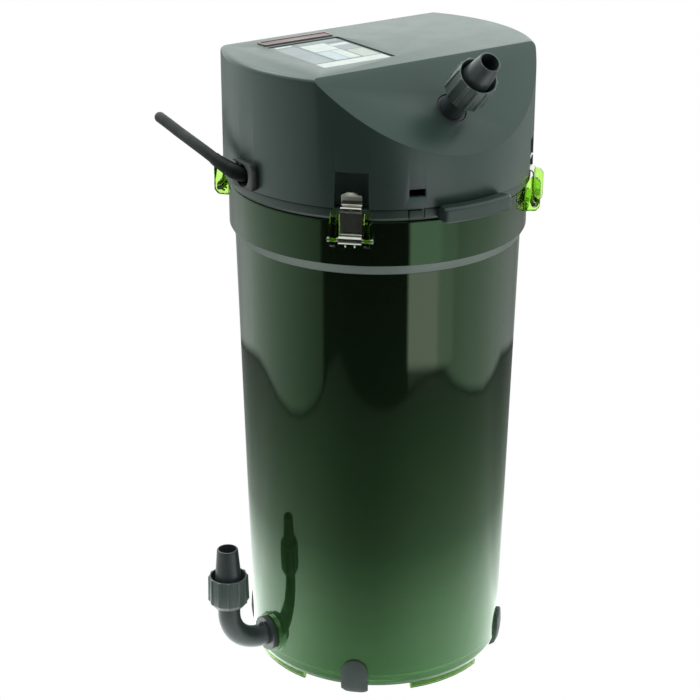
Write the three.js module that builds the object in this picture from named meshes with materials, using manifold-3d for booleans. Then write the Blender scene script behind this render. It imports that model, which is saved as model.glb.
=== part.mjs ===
// Aquarium canister filter: a translucent canister with a side intake at its foot, a motor head
// held down by four over-centre clips, and hose fittings with clamping nuts.
// Units are millimetres. +Z is up, the origin is on the canister's axis at floor level,
// and the outlet side faces -Y. Azimuth a is measured from -Y towards +X.
import * as THREE from 'three';
import { mergeVertices } from 'three/addons/utils/BufferGeometryUtils.js';
import Module from 'manifold-3d';

// ---- driving dimensions -------------------------------------------------
const HEAD_TOP = 341.5;          // top face of the head
const HEAD_R = 80;               // head side wall
const HEAD_BOTTOM = 278.9;       // lower edge of the head shell
const CUT_Y = 41;                // half width of the flat top between the two 45 degree faces
const SHELL_WALL = 3;
const FLANGE_TOP = 278.5;
const FLANGE_BOTTOM = 272.5;
const FLANGE_R = 79;
const RIM_Z = 272.0;             // canister rim
const COLLAR_R = 77.5;
const COLLAR_BOTTOM = 249.3;
const BODY_TOP_Z = 244;
const BODY_TOP_R = 74.6;
const BODY_BASE_R = 69.1;
const BODY_BASE_Z = 4.5;
const WALL = 2.8;
const CLIP_AZ = [-45, 45, 135, -135];
const CLIP_NAMES = ['front_left', 'front_right', 'rear_right', 'rear_left'];
const PIN_R = 82.2;              // clip pin, distance from the axis
const PIN_Z = 264;
const SPIGOT_X = -97;            // upright intake spigot
const INTAKE_Z = 23;             // horizontal run of the intake elbow
const ELBOW_BEND = 20;
const TUBE_R = 6;
const TUBE_BORE = 4.5;
const OUT_Y = -61.2, OUT_Z = 321.3;   // where the outlet's axis crosses the slanted face
const CORD_R = 3.0;
const SEG = 36;

const wasm = await Module();
wasm.setup();

const D2R = Math.PI / 180;
const rad = (a) => new THREE.Vector3(Math.sin(a * D2R), -Math.cos(a * D2R), 0);
const tan = (a) => new THREE.Vector3(-Math.cos(a * D2R), -Math.sin(a * D2R), 0);

// ---- geometry helpers ---------------------------------------------------
function bare(g) {
  let h = g.index ? g.toNonIndexed() : g.clone();
  h.deleteAttribute('normal');
  if (h.attributes.uv) h.deleteAttribute('uv');
  h = mergeVertices(h, 1e-4);
  const idx = h.index.array, p = h.attributes.position, out = [];
  let vol = 0;
  const a = new THREE.Vector3(), b = new THREE.Vector3(), c = new THREE.Vector3();
  for (let i = 0; i < idx.length; i += 3) {
    const [i0, i1, i2] = [idx[i], idx[i + 1], idx[i + 2]];
    if (i0 === i1 || i1 === i2 || i2 === i0) continue;
    out.push(i0, i1, i2);
    a.fromBufferAttribute(p, i0); b.fromBufferAttribute(p, i1); c.fromBufferAttribute(p, i2);
    vol += a.dot(b.cross(c));
  }
  if (vol < 0) for (let i = 0; i < out.length; i += 3) { const t = out[i + 1]; out[i + 1] = out[i + 2]; out[i + 2] = t; }
  h.setIndex(out);
  return h;
}
function toM(g) {
  const h = bare(g);
  return new wasm.Manifold(new wasm.Mesh({ numProp: 3,
    vertProperties: new Float32Array(h.attributes.position.array),
    triVerts: new Uint32Array(h.index.array) }));
}
function fromM(m) {
  const q = m.getMesh(), n = q.numProp, v = q.vertProperties;
  const pos = new Float32Array((v.length / n) * 3);
  for (let i = 0, j = 0; i < v.length; i += n, j += 3) { pos[j] = v[i]; pos[j + 1] = v[i + 1]; pos[j + 2] = v[i + 2]; }
  const g = new THREE.BufferGeometry();
  g.setAttribute('position', new THREE.BufferAttribute(pos, 3));
  g.setIndex(new THREE.BufferAttribute(new Uint32Array(q.triVerts), 1));
  return g;
}
const add = (...gs) => fromM(gs.slice(1).reduce((m, g) => m.add(toM(g)), toM(gs[0])));
const sub = (g, ...cuts) => fromM(cuts.reduce((m, c) => m.subtract(toM(c)), toM(g)));
const both = (g, h) => fromM(toM(g).intersect(toM(h)));

// closed profile [[r, z], ...] turned about Z
function lathe(pts, seg = SEG, closed = false) {
  const p = pts.map(([r, z]) => new THREE.Vector2(r, z));
  if (closed) p.push(p[0].clone());
  const g = new THREE.LatheGeometry(p, seg);
  g.rotateX(Math.PI / 2);
  return g;
}
const ring = (pts, seg = SEG) => lathe(pts, seg, true);
function cyl(r, z0, z1, seg = 24, r2 = r) {
  const g = new THREE.CylinderGeometry(r2, r, z1 - z0, seg);
  g.rotateX(Math.PI / 2); g.translate(0, 0, (z0 + z1) / 2);
  return g;
}
function box(x0, x1, y0, y1, z0, z1) {
  const g = new THREE.BoxGeometry(x1 - x0, y1 - y0, z1 - z0);
  g.translate((x0 + x1) / 2, (y0 + y1) / 2, (z0 + z1) / 2);
  return g;
}
// profile in (r, z) pushed along the tangent from t0 to t1, standing at azimuth a
function plate(pts, a, t0, t1, hole = null) {
  const s = new THREE.Shape(pts.map(([r, z]) => new THREE.Vector2(r, z)));
  if (hole) { const h = new THREE.Path(); h.absarc(hole[0], hole[1], hole[2], 0, 2 * Math.PI, true); s.holes.push(h); }
  const g = new THREE.ExtrudeGeometry(s, { depth: t1 - t0, bevelEnabled: false, steps: 1, curveSegments: 8 });
  g.translate(0, 0, t0);
  g.applyMatrix4(new THREE.Matrix4().makeBasis(rad(a), new THREE.Vector3(0, 0, 1), tan(a)));
  return g;
}
// closed outline of a strip of thickness th that follows a line of points
function strip(line, th) {
  const L = [], R = [];
  for (let i = 0; i < line.length; i++) {
    const a = line[Math.max(0, i - 1)], b = line[Math.min(line.length - 1, i + 1)];
    const dx = b[0] - a[0], dy = b[1] - a[1], n = Math.hypot(dx, dy) || 1;
    L.push([line[i][0] - dy / n * th / 2, line[i][1] + dx / n * th / 2]);
    R.push([line[i][0] + dy / n * th / 2, line[i][1] - dx / n * th / 2]);
  }
  return L.concat(R.reverse());
}
function circle(r, seg) {
  const s = new THREE.Shape();
  for (let i = 0; i < seg; i++) {
    const t = (i / seg) * 2 * Math.PI;
    if (i) s.lineTo(r * Math.cos(t), r * Math.sin(t)); else s.moveTo(r, 0);
  }
  return s;
}
function tube(points, r, steps, seg = 10, curved = true) {
  const v = points.map((p) => new THREE.Vector3(...p));
  let path;
  if (curved) path = new THREE.CatmullRomCurve3(v, false, 'centripetal');
  else { path = new THREE.CurvePath(); for (let i = 1; i < v.length; i++) path.add(new THREE.LineCurve3(v[i - 1], v[i])); }
  return new THREE.ExtrudeGeometry(circle(r, seg), { steps, extrudePath: path, bevelEnabled: false, curveSegments: 1 });
}
// puts a piece built along +Z onto an axis through point c with direction d
function onAxis(g, c, d) {
  const h = g.clone();
  const q = new THREE.Quaternion().setFromUnitVectors(new THREE.Vector3(0, 0, 1), new THREE.Vector3(...d).normalize());
  h.applyQuaternion(q); h.translate(...c);
  return h;
}
const turn = (g, deg) => { const h = g.clone(); h.rotateZ(deg * D2R); return h; };
const az = (g, a) => turn(g, a);                 // piece built at the front (-Y) moved to azimuth a
const S = Math.SQRT1_2;
const OUT = [0, -S, S];                           // outlet direction
const outPt = (t) => [0, OUT_Y - t * S, OUT_Z + t * S];

// ---- materials ----------------------------------------------------------
const mats = {
  shell: [0x1f3a28, 0.15, 0], head: [0x4f5c58, 0.45, 0], trim: [0x59625f, 0.5, 0], dark: [0x2a302f, 0.6, 0],
  steel: [0xc8ccca, 0.25, 1], rubber: [0x3a403e, 0.85, 0], seal: [0x20211f, 0.8, 0], ceramic: [0xe8e6df, 0.3, 0],
  copper: [0xb4693a, 0.4, 1], iron: [0x6c7074, 0.5, 1], foam: [0x31567a, 1, 0], carbon: [0x151617, 1, 0],
  cord: [0x232625, 0.5, 0], brass: [0xc9a55a, 0.3, 1], label: [0x8d9893, 0.5, 0],
};
const root = new THREE.Group();
function put(name, g, m) {
  const [c, r, k] = mats[m];
  const mesh = new THREE.Mesh(bare(g), new THREE.MeshStandardMaterial({ color: c, roughness: r, metalness: k }));
  mesh.name = name; root.add(mesh);
}

// ---- canister -----------------------------------------------------------
const wallR = (z) => BODY_BASE_R + (BODY_TOP_R - BODY_BASE_R) * (z - 10) / (BODY_TOP_Z - 10);
let can = lathe([
  [0, 0], [12, 0], [12, BODY_BASE_Z], [65.6, BODY_BASE_Z], [67.9, 5.4], [BODY_BASE_R, 8],
  [BODY_TOP_R, BODY_TOP_Z], [COLLAR_R, COLLAR_BOTTOM], [COLLAR_R, RIM_Z - 1], [COLLAR_R - 0.8, RIM_Z],
  [72, RIM_Z], [71.8, BODY_TOP_Z], [wallR(12) - WALL, 12], [62, 7.6], [0, 7.6],
]);
// skirt arcs under the base edge at 0, 90, 180 and 270 degrees
const skirtRing = ring([[65.4, 1.6], [67.4, 1.6], [67.8, 6.4], [64.2, 6.4]]);
const wedge = (half) => {
  const s = new THREE.Shape(); s.moveTo(0, 0);
  for (let i = 0; i <= 8; i++) { const a = (-half + i * half / 4) * D2R; s.lineTo(90 * Math.sin(a), -90 * Math.cos(a)); }
  s.closePath();
  const g = new THREE.ExtrudeGeometry(s, { depth: 12, bevelEnabled: false, curveSegments: 1 }); g.translate(0, 0, 0.5);
  return g;
};
const arcs = [0, 90, 180, 270].map((a) => both(skirtRing, az(wedge(19), a)));
// ears that carry the clip pins, and two small ribs below each clip
const earProfile = [[75.5, 259.6], [83.6, 260.2], [85, 262], [85.2, 270], [84.9, 275], [83.2, 277.7], [80.4, 277.7],
  [80.4, 271.6], [75.5, 271.6]];
const ears = [];
for (const a of CLIP_AZ) {
  ears.push(plate(earProfile, a, -9.8, -6.8), plate(earProfile, a, 6.8, 9.8));
  ears.push(plate([[76.6, 257.6], [78.5, 258.2], [78.5, 262], [76.6, 263]], a, -4.4, -3.2));
  ears.push(plate([[76.6, 257.6], [78.5, 258.2], [78.5, 262], [76.6, 263]], a, 3.2, 4.4));
}
// flat boss for the intake elbow, at -X
const boss = onAxis(cyl(10.8, 62.6, 71.6, 24), [0, 0, INTAKE_Z], [-1, 0, 0]);
can = add(can, ...arcs, ...ears, boss);
const pinHoles = CLIP_AZ.map((a) => { const d = tan(a); const c = rad(a).multiplyScalar(PIN_R);
  return onAxis(cyl(1.3, -12, 12, 8), [c.x, c.y, PIN_Z], [d.x, d.y, 0]); });
can = sub(can, onAxis(cyl(6.3, 55, 80, 24), [0, 0, INTAKE_Z], [-1, 0, 0]),
  onAxis(cyl(15, 55, 63.6, 24), [0, 0, INTAKE_Z], [-1, 0, 0]), ...pinHoles);
put('canister', can, 'shell');

// rubber feet: a pad under the edge that wraps up the wall
const footProfile = [[59, 1.2], [60.2, 0], [66.6, 0], [68.4, 1], [70.9, 5.5], [71.6, 12], [71.4, 18.4], [70, 19.4],
  [69.62, 19.4], [69.42, 8.1], [68.15, 5.15], [65.7, 4.2], [59, 4.2]];
CLIP_AZ.forEach((a, i) => put(`foot_${CLIP_NAMES[i]}`, plate(footProfile, a, -7.4, 7.4), 'rubber'));

// ---- intake -------------------------------------------------------------
const elbowPath = (x0, ztop, n = 6) => {
  const pts = [[x0, 0, INTAKE_Z]];
  for (let i = 0; i <= n; i++) {
    const t = (i / n) * Math.PI / 2;
    pts.push([SPIGOT_X + ELBOW_BEND - ELBOW_BEND * Math.sin(t), 0, INTAKE_Z + ELBOW_BEND - ELBOW_BEND * Math.cos(t)]);
  }
  pts.push([SPIGOT_X, 0, ztop]);
  return pts;
};
function bend(r, x0, ztop) {
  const pts = elbowPath(x0, ztop), v = pts.map((p) => new THREE.Vector3(...p));
  const rows = pts.length, seg = 12, pos = [], idx = [];
  for (let i = 0; i < rows; i++) {
    const a = v[Math.max(0, i - 1)], b = v[Math.min(rows - 1, i + 1)];
    const d = b.clone().sub(a).normalize();
    if (i === 0 || i === 1) d.set(-1, 0, 0);
    if (i >= rows - 2) d.set(0, 0, 1);
    const u = new THREE.Vector3(0, 1, 0), w = d.clone().cross(u);
    for (let j = 0; j < seg; j++) {
      const t = (j / seg) * 2 * Math.PI;
      const p = v[i].clone().addScaledVector(u, r * Math.cos(t)).addScaledVector(w, r * Math.sin(t));
      pos.push(p.x, p.y, p.z);
    }
  }
  for (let i = 0; i < rows - 1; i++) for (let j = 0; j < seg; j++) {
    const k = (j + 1) % seg, p = i * seg + j, q = i * seg + k, s2 = (i + 1) * seg + k, t2 = (i + 1) * seg + j;
    idx.push(p, q, s2, p, s2, t2);
  }
  const c0 = pos.length / 3; pos.push(...pts[0]); const c1 = c0 + 1; pos.push(...pts[rows - 1]);
  for (let j = 0; j < seg; j++) {
    const k = (j + 1) % seg;
    idx.push(c0, k, j, c1, (rows - 1) * seg + j, (rows - 1) * seg + k);
  }
  const g = new THREE.BufferGeometry();
  g.setAttribute('position', new THREE.Float32BufferAttribute(pos, 3)); g.setIndex(idx);
  return g;
}
let elbow = add(bend(TUBE_R, -56, 60), onAxis(cyl(9.6, 72.4, 75, 16), [0, 0, INTAKE_Z], [-1, 0, 0]),
  cyl(7.4, 50.2, 61, 16).translate(SPIGOT_X, 0, 0), cyl(7.4, 61, 82.2, 16, 5.6).translate(SPIGOT_X, 0, 0));
elbow = sub(elbow, bend(TUBE_BORE, -50, 90));
put('intake_elbow', elbow, 'trim');
put('intake_seal', onAxis(ring([[6.3, 71.8], [9.2, 71.8], [9.2, 72.2], [6.3, 72.2]], 24), [0, 0, INTAKE_Z], [-1, 0, 0]), 'seal');
const lockHex = sub(onAxis(cyl(10.4, 58.6, 63.3, 6), [0, 0, INTAKE_Z], [-1, 0, 0]), onAxis(cyl(6.25, 50, 70, 24), [0, 0, INTAKE_Z], [-1, 0, 0]));
put('intake_lock_nut', lockHex, 'trim');

// ribbed clamping nut, built upwards from its lower end at z = 0
function clampNut() {
  const n = 12, s = new THREE.Shape();
  for (let i = 0; i < n; i++) {
    const r = 10.7, t = (i / n) * 2 * Math.PI;
    if (i) s.lineTo(r * Math.cos(t), r * Math.sin(t)); else s.moveTo(r, 0);
  }
  const g = new THREE.ExtrudeGeometry(s, { depth: 17.8, bevelEnabled: false, curveSegments: 1 });
  const outer = both(g, lathe([[0, 0], [8.4, 0], [10.9, 3.2], [10.6, 17.8], [0, 17.8]], 12));
  return sub(outer, cyl(7.95, -1, 30, 16), cyl(9.25, 6.2, 30, 16));
}
const NUT_Z = 48.6;
put('intake_nut', clampNut().translate(SPIGOT_X, 0, NUT_Z), 'trim');

// ---- filter stack -------------------------------------------------------
function grid(z0, z1, R, legs) {
  const holes = [];
  for (let i = -2; i <= 2; i++) {
    const x = i * 22, h = Math.sqrt((R - 7) ** 2 - x * x);
    holes.push(box(x - 7, x + 7, -h, h, z0 - 1, z1 + 1));
  }
  let g = sub(cyl(R, z0, z1, 24), ...holes);
  if (legs) g = add(g, ring([[R - 9, legs], [R - 6.6, legs], [R - 6.6, z0 + 0.5], [R - 9, z0 + 0.5]], 24));
  return g;
}
const lowRing = sub(grid(40, 42.6, 66.2, 8), onAxis(cyl(14, 40, 70, 24), [0, 0, INTAKE_Z], [-1, 0, 0]));
put('bottom_grid', lowRing, 'dark');
put('coarse_pad', cyl(66.4, 43.1, 58, 24, 66.8), 'foam');
put('carbon_pad', cyl(69.6, 208, 224, 24, 70), 'carbon');
put('top_grid', grid(224.5, 227.5, 70.2, 0), 'dark');

// ---- clips and pins -----------------------------------------------------
const clipLine = [[80.6, 265.6], [80.9, 268], [80.9, 277.8], [80.5, 279.3], [79.6, 279.8], [78.5, 279.7], [77.8, 280.6],
  [78, 283], [78.8, 285.4], [79.9, 287.4]];
function clip(a) {
  const barrel = plate(Array.from({ length: 10 }, (_, i) => [PIN_R + 2.3 * Math.cos(i * Math.PI / 5), PIN_Z + 2.3 * Math.sin(i * Math.PI / 5)]), a, -5.7, 5.7);
  const lower = plate(strip(clipLine.slice(0, 7), 1.2), a, -5.7, 5.7);
  const tab = plate(strip(clipLine.slice(5), 1.2), a, -5.2, 5.2);
  const d = tan(a), c = rad(a).multiplyScalar(PIN_R);
  return sub(add(barrel, lower, tab), onAxis(cyl(1.3, -12, 12, 8), [c.x, c.y, PIN_Z], [d.x, d.y, 0]));
}
CLIP_AZ.forEach((a, i) => {
  const d = tan(a), c = rad(a).multiplyScalar(PIN_R);
  put(`clip_pin_${CLIP_NAMES[i]}`, onAxis(cyl(1, -11.4, 11.4, 8), [c.x, c.y, PIN_Z], [d.x, d.y, 0]), 'steel');
  put(`clip_${CLIP_NAMES[i]}`, clip(a), 'steel');
});

// ---- head shell ---------------------------------------------------------
const half = (n, d0) => {            // big block on the inner side of the plane n.p = d0
  const g = new THREE.BoxGeometry(600, 600, 600);
  const q = new THREE.Quaternion().setFromUnitVectors(new THREE.Vector3(0, 0, 1), new THREE.Vector3(...n));
  g.translate(0, 0, 300); g.applyQuaternion(q); g.translate(n[0] * d0, n[1] * d0, n[2] * d0);
  return g;
};
const cutD = (CUT_Y + HEAD_TOP) * S;
const solidHead = sub(lathe([[0, HEAD_BOTTOM], [HEAD_R, HEAD_BOTTOM], [HEAD_R, HEAD_TOP - 3], [HEAD_R - 0.9, HEAD_TOP - 0.9], [HEAD_R - 3, HEAD_TOP], [0, HEAD_TOP]], 48),
  half([0, -S, S], cutD), half([0, S, S], cutD));
const innerHead = sub(lathe([[0, HEAD_BOTTOM - 5], [HEAD_R - SHELL_WALL, HEAD_BOTTOM - 5], [HEAD_R - SHELL_WALL, HEAD_TOP - SHELL_WALL], [0, HEAD_TOP - SHELL_WALL]], 48),
  half([0, -S, S], cutD - SHELL_WALL), half([0, S, S], cutD - SHELL_WALL));
let shell = sub(solidHead, innerHead);
const pocketBlocks = CLIP_AZ.map((a) => both(solidHead, az(box(-10.5, 10.5, -90, -72.2, HEAD_BOTTOM, 299.6), a)));
const columns = [[56.4, 20.5], [-56.4, 20.5], [56.4, -20.5], [-56.4, -20.5]].map(([x, y]) => cyl(4.5, HEAD_BOTTOM + 0.2, HEAD_TOP - 1.5, 12).translate(x, y, 0));
shell = add(shell, ...pocketBlocks, ...columns);
const cuts = [
  ...CLIP_AZ.map((a) => az(box(-8.5, 8.5, -95, -74.6, HEAD_BOTTOM - 1, 297.2), a)),
  ...[-22, 98, -142].map((a) => az(box(-4, 4, -95, -70, 284.9, 288.7), a)),
  ...[[56.4, 20.5], [-56.4, 20.5], [56.4, -20.5], [-56.4, -20.5]].map(([x, y]) => cyl(1.9, 270, 292, 12).translate(x, y, 0)),
  onAxis(cyl(8, -10, 10, 24), outPt(0), OUT),
  onAxis(cyl(6, 60, 95, 20), [0, 0, 286.4], [-1, 0, 0]),
  box(-52, -9, -27, 23.5, HEAD_TOP - 0.9, HEAD_TOP + 2),
];
shell = sub(shell, ...cuts);
put('head_shell', shell, 'head');
put('rating_plate', box(-51.6, -9.4, -26.6, 23.1, HEAD_TOP - 0.85, HEAD_TOP - 0.25), 'label');
put('badge_bar', box(-51.6, -9.4, 26, 34.6, HEAD_TOP + 0.05, HEAD_TOP + 0.7), 'label');

// ---- head base: flange, skirt, deck, rotor well -------------------------
let base = lathe([
  [0, 320.5], [15.4, 320.5], [15.4, FLANGE_TOP], [FLANGE_R, FLANGE_TOP], [FLANGE_R, 274.2], [77.6, FLANGE_BOTTOM],
  [76.3, FLANGE_BOTTOM], [76.3, 275], [73.3, 275], [73.3, FLANGE_BOTTOM], [71.2, FLANGE_BOTTOM], [70.6, 258], [68.2, 258], [68.2, 275.2],
  [26.5, 275.2], [26.5, 262], [23.6, 262], [23.6, 275.2], [12.8, 275.2], [12.8, 317.6], [0, 317.6],
], SEG);
const lugShape = (R0, R1, z0, z1, h) => both(ring([[R0, z0], [R1 - 0.8, z0], [R1, z0 + 0.8], [R1, z1 - 0.8], [R1 - 0.8, z1], [R0, z1]], 96),
  (() => { const s = new THREE.Shape(); s.moveTo(0, -40);
    for (let i = 0; i <= 8; i++) { const t = (-h + i * h / 4) * D2R; s.lineTo(110 * Math.sin(t), -110 * Math.cos(t)); }
    s.closePath(); const g = new THREE.ExtrudeGeometry(s, { depth: 30, bevelEnabled: false, curveSegments: 1 }); g.translate(0, 0, 262); return g; })());
base = add(base, lugShape(77, 88, 272.2, 278.3, 13.2), lugShape(80.5, 88, 272.2, 280.3, 13.2));
base = add(base, ...[-22, 98, -142].map((a) => az(box(-3.8, 3.8, -79.9, -78.2, 273.4, 278.2), a)));
base = sub(base,
  ...[[56.4, 20.5], [-56.4, 20.5], [56.4, -20.5], [-56.4, -20.5]].map(([x, y]) => cyl(1.9, 270, 285, 12).translate(x, y, 0)),
  cyl(4.8, 270, 285, 20).translate(0, -34, 0));
// outlet duct: joins the pump chamber to the port in the deck, on the underside
const duct = sub(add(cyl(7.4, 264.5, 275.6, 20).translate(0, -34, 0), box(-7.4, 7.4, -34, -24.2, 264.5, 275.6)),
  cyl(4.8, 267, 290, 20).translate(0, -34, 0), box(-4.8, 4.8, -34, -10, 267, 272.6), cyl(25.4, 250, 276, 48));
base = sub(add(base, duct), box(-4.8, 4.8, -30, -20, 267, 272.6));
put('head_base', base, 'head');
put('head_o_ring', ring(Array.from({ length: 6 }, (_, i) => [74.8 + 1.2 * Math.cos(i * Math.PI / 3), 273.5 + 1.2 * Math.sin(i * Math.PI / 3)]), SEG), 'seal');

// ---- motor --------------------------------------------------------------
const stator = sub(box(-27, 27, -14, 30, 283, 303), cyl(15.75, 270, 330, 24), box(-13, 13, 18.5, 24, 270, 330), box(-16.5, -10, 15, 24.5, 270, 330), box(10, 16.5, 15, 24.5, 270, 330));
put('stator_core', stator, 'iron');
const coilRing = sub(box(-9.6, 9.6, 21, 39, 279.2, 308), box(-30, 30, 23.7, 30.3, 282.6, 303.4));
put('motor_coil', coilRing, 'copper');
let cover = lathe([[0, 257.4], [29, 257.4], [29, 261.4], [23.3, 261.4], [23.3, 263.6], [21.4, 263.6], [21.4, 259.8], [0, 259.8]], 24);
cover = sub(add(cover, cyl(3.6, 259.5, 263.2, 12)), ring([[4.6, 250], [10.5, 250], [10.5, 259.9], [4.6, 259.9]], 12));
cover = add(cover, box(-11.5, 11.5, -1.1, 1.1, 257.4, 259.8), box(-1.1, 1.1, -11.5, 11.5, 257.4, 259.8));
cover = sub(cover, cyl(2.35, 260, 270, 16));
put('impeller_cover', cover, 'dark');
put('bush_lower', sub(cyl(2.2, 260.2, 263.6, 16), cyl(1.6, 260.9, 270, 16)), 'rubber');
put('shaft', cyl(1.5, 261.1, 316.6, 16), 'ceramic');
put('bush_upper', sub(cyl(4.2, 313.6, 317.3, 16), cyl(1.6, 310, 316.8, 16)), 'rubber');
const hub = sub(add(cyl(5, 264.4, 277.6, 24), ...Array.from({ length: 6 }, (_, i) => turn(box(-0.9, 0.9, 3.5, 20.5, 264.6, 272.4), i * 60))), cyl(1.56, 260, 290, 16));
put('impeller', hub, 'dark');
put('magnet_rotor', sub(cyl(11.6, 278, 312.6, 24), cyl(1.56, 270, 320, 16)), 'iron');

// ---- outlet -------------------------------------------------------------
function outTube(r, startZ, endT) {
  const p = [[0, -34, startZ], [0, -34, 288], [0, -34.8, 291.9], [0, -37, 296.1], [0, -41.2, 301.3], [0, -45.2, 305.3], outPt(endT)];
  const v = p.map((q) => new THREE.Vector3(...q)), rows = p.length, seg = 12, pos = [], idx = [];
  const dirs = [[0, 0, 1], [0, 0, 1], [0, -0.35, 1], [0, -0.72, 1], [0, -1, 1], [0, -1, 1], [0, -1, 1]];
  for (let i = 0; i < rows; i++) {
    const d = new THREE.Vector3(...dirs[i]).normalize(), u = new THREE.Vector3(1, 0, 0), w = d.clone().cross(u);
    for (let j = 0; j < seg; j++) {
      const t = (j / seg) * 2 * Math.PI;
      const q = v[i].clone().addScaledVector(u, r * Math.cos(t)).addScaledVector(w, r * Math.sin(t));
      pos.push(q.x, q.y, q.z);
    }
  }
  for (let i = 0; i < rows - 1; i++) for (let j = 0; j < seg; j++) {
    const k = (j + 1) % seg, a = i * seg + j, b = i * seg + k, c = (i + 1) * seg + k, d = (i + 1) * seg + j;
    idx.push(a, b, c, a, c, d);
  }
  const c0 = pos.length / 3; pos.push(...p[0]); const c1 = c0 + 1; pos.push(...p[rows - 1]);
  for (let j = 0; j < seg; j++) { const k = (j + 1) % seg; idx.push(c0, k, j, c1, (rows - 1) * seg + j, (rows - 1) * seg + k); }
  const g = new THREE.BufferGeometry();
  g.setAttribute('position', new THREE.Float32BufferAttribute(pos, 3)); g.setIndex(idx);
  return g;
}
let spout = add(outTube(TUBE_R, 278.8, 20), onAxis(cyl(7.6, 12, 26, 16), outPt(0), OUT), onAxis(cyl(7.6, 25.9, 40.2, 16, 5.6), outPt(0), OUT), onAxis(cyl(9.6, -7.6, -4, 16), outPt(0), OUT));
spout = sub(spout, outTube(TUBE_BORE, 275, 50));
put('outlet_spigot', spout, 'trim');
put('outlet_nut', onAxis(clampNut(), outPt(10.6), OUT), 'trim');
put('outlet_seal', onAxis(ring([[6.3, -3.8], [7.7, -3.8], [7.7, -0.6], [6.3, -0.6]], 24), outPt(0), OUT), 'seal');

// ---- cable gland and cord ----------------------------------------------
const GZ = 286.4;
const gFrame = (() => {
  const s = new THREE.Shape(), w = 9.4, h = 6.9, r = 3;
  s.moveTo(-w + r, -h); s.lineTo(w - r, -h); s.absarc(w - r, -h + r, r, -Math.PI / 2, 0); s.lineTo(w, h - r); s.absarc(w - r, h - r, r, 0, Math.PI / 2);
  s.lineTo(-w + r, h); s.absarc(-w + r, h - r, r, Math.PI / 2, Math.PI); s.lineTo(-w, -h + r); s.absarc(-w + r, -h + r, r, Math.PI, 1.5 * Math.PI);
  const g = new THREE.ExtrudeGeometry(s, { depth: 2.6, bevelEnabled: false, curveSegments: 4 });
  g.applyMatrix4(new THREE.Matrix4().makeBasis(new THREE.Vector3(0, 1, 0), new THREE.Vector3(0, 0, 1), new THREE.Vector3(1, 0, 0)));
  g.translate(-83, 0, GZ);
  return g;
})();
// the bend relief leaves the bore and turns along the head's side, in a notch of the gland frame
const reliefLine = [[-73, 0, GZ], [-78.4, 0.1, GZ], [-81.5, 1.2, GZ + 0.2], [-83.5, 3.9, GZ + 0.8], [-84.5, 7.5, 287.8], [-85.3, 12.5, 288.8], [-85.48, 16, 289.3], [-85.5, 18, 289.3]];
const glandBore = onAxis(cyl(4.7, 60, 90, 20), [0, 0, GZ], [-1, 0, 0]);
put('cable_gland', sub(add(gFrame, onAxis(cyl(5.6, 74, 81, 20), [0, 0, GZ], [-1, 0, 0])), glandBore, tube(reliefLine, 4.6, 14, 12)), 'dark');
put('strain_relief', add(tube(reliefLine, 3.4, 14, 12), tube(reliefLine.slice(0, 6), 3.75, 12, 12), tube(reliefLine.slice(0, 5), 4.1, 10, 12)), 'cord');
const cordPts = [[-85.5, 18.4, 289.3], [-85.48, 20.4, 289.3], [-85.0, 25.0, 290.1], [-83.7, 34.0, 290.8], [-81.0, 48.0, 290.7], [-77.8, 62.0, 290.2], [-74.5, 76.0, 289.6],
  [-71.3, 89.0, 289.1], [-68.6, 100.0, 288.6], [-65.6, 110.5, 287.7], [-60.6, 120.0, 285.0], [-53.2, 127.8, 279.9], [-43.8, 132.6, 272.5],
  [-33.0, 134.2, 263.5], [-22.0, 133.8, 254.1], [-12.0, 134.5, 244.8], [-3.5, 136.2, 234.0], [3.5, 138.4, 221.0], [8.5, 140.4, 205.0],
  [12.0, 141.8, 187.0], [15.0, 143.0, 160.0], [17.5, 144.6, 130.0], [19.4, 146.6, 95.0], [20.3, 148.6, 66.0], [20.6, 149.8, 46.0],
  [20.6, 150.0, 31.4], [20.56, 149.05, 24.15], [20.45, 146.25, 17.4], [20.28, 141.8, 11.6], [20.2, 139.8, 9.8]];
put('cord_run', tube(cordPts, CORD_R, 46, 8), 'cord');
const COIL = [60, 112];
put('cord_coil', ring([[31.5, 0.6], [43.5, 0.6], [45, 2.2], [45, 18], [43.5, 19.4], [31.5, 19.4], [30, 18], [30, 2.2]], 20).translate(COIL[0], COIL[1], 0), 'cord');
put('coil_tie', sub(box(COIL[0] + 27, COIL[0] + 47.6, COIL[1] - 4, COIL[1] + 4, 0.05, 21.2), box(COIL[0] + 29, COIL[0] + 45.6, COIL[1] - 6, COIL[1] + 6, 0.3, 19.8)), 'rubber');
// flat two-pin plug lying on the coil, in line with its turns, pins towards -Y
const PLUG = [16.5, 113, 26.8];
const plugShape = new THREE.Shape();
[[-17, -6.2], [-3, -6.8], [13, -5.4], [17, -5.2], [17, 5.2], [13, 5.4], [-3, 6.8], [-17, 6.2]].forEach(([x, y], i) => (i ? plugShape.lineTo(-x, y) : plugShape.moveTo(-x, y)));
const plug = new THREE.ExtrudeGeometry(plugShape, { depth: 24, bevelEnabled: false });
plug.applyMatrix4(new THREE.Matrix4().makeBasis(new THREE.Vector3(0, 1, 0), new THREE.Vector3(0, 0, 1), new THREE.Vector3(1, 0, 0)));
plug.translate(PLUG[0], PLUG[1], PLUG[2]);
const PL = [PLUG[0] + 12, PLUG[1], PLUG[2]];
put('plug_body', sub(plug, ...[-9.5, 9.5].map((d) => onAxis(cyl(2.35, 5, 24, 12), [PL[0] + d, PL[1], PL[2]], [0, -1, 0]))), 'cord');
[-9.5, 9.5].forEach((d, i) => put(`plug_pin_${i ? 'b' : 'a'}`, onAxis(cyl(2, 6, 36, 12), [PL[0] + d, PL[1], PL[2]], [0, -1, 0]), 'brass'));

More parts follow.
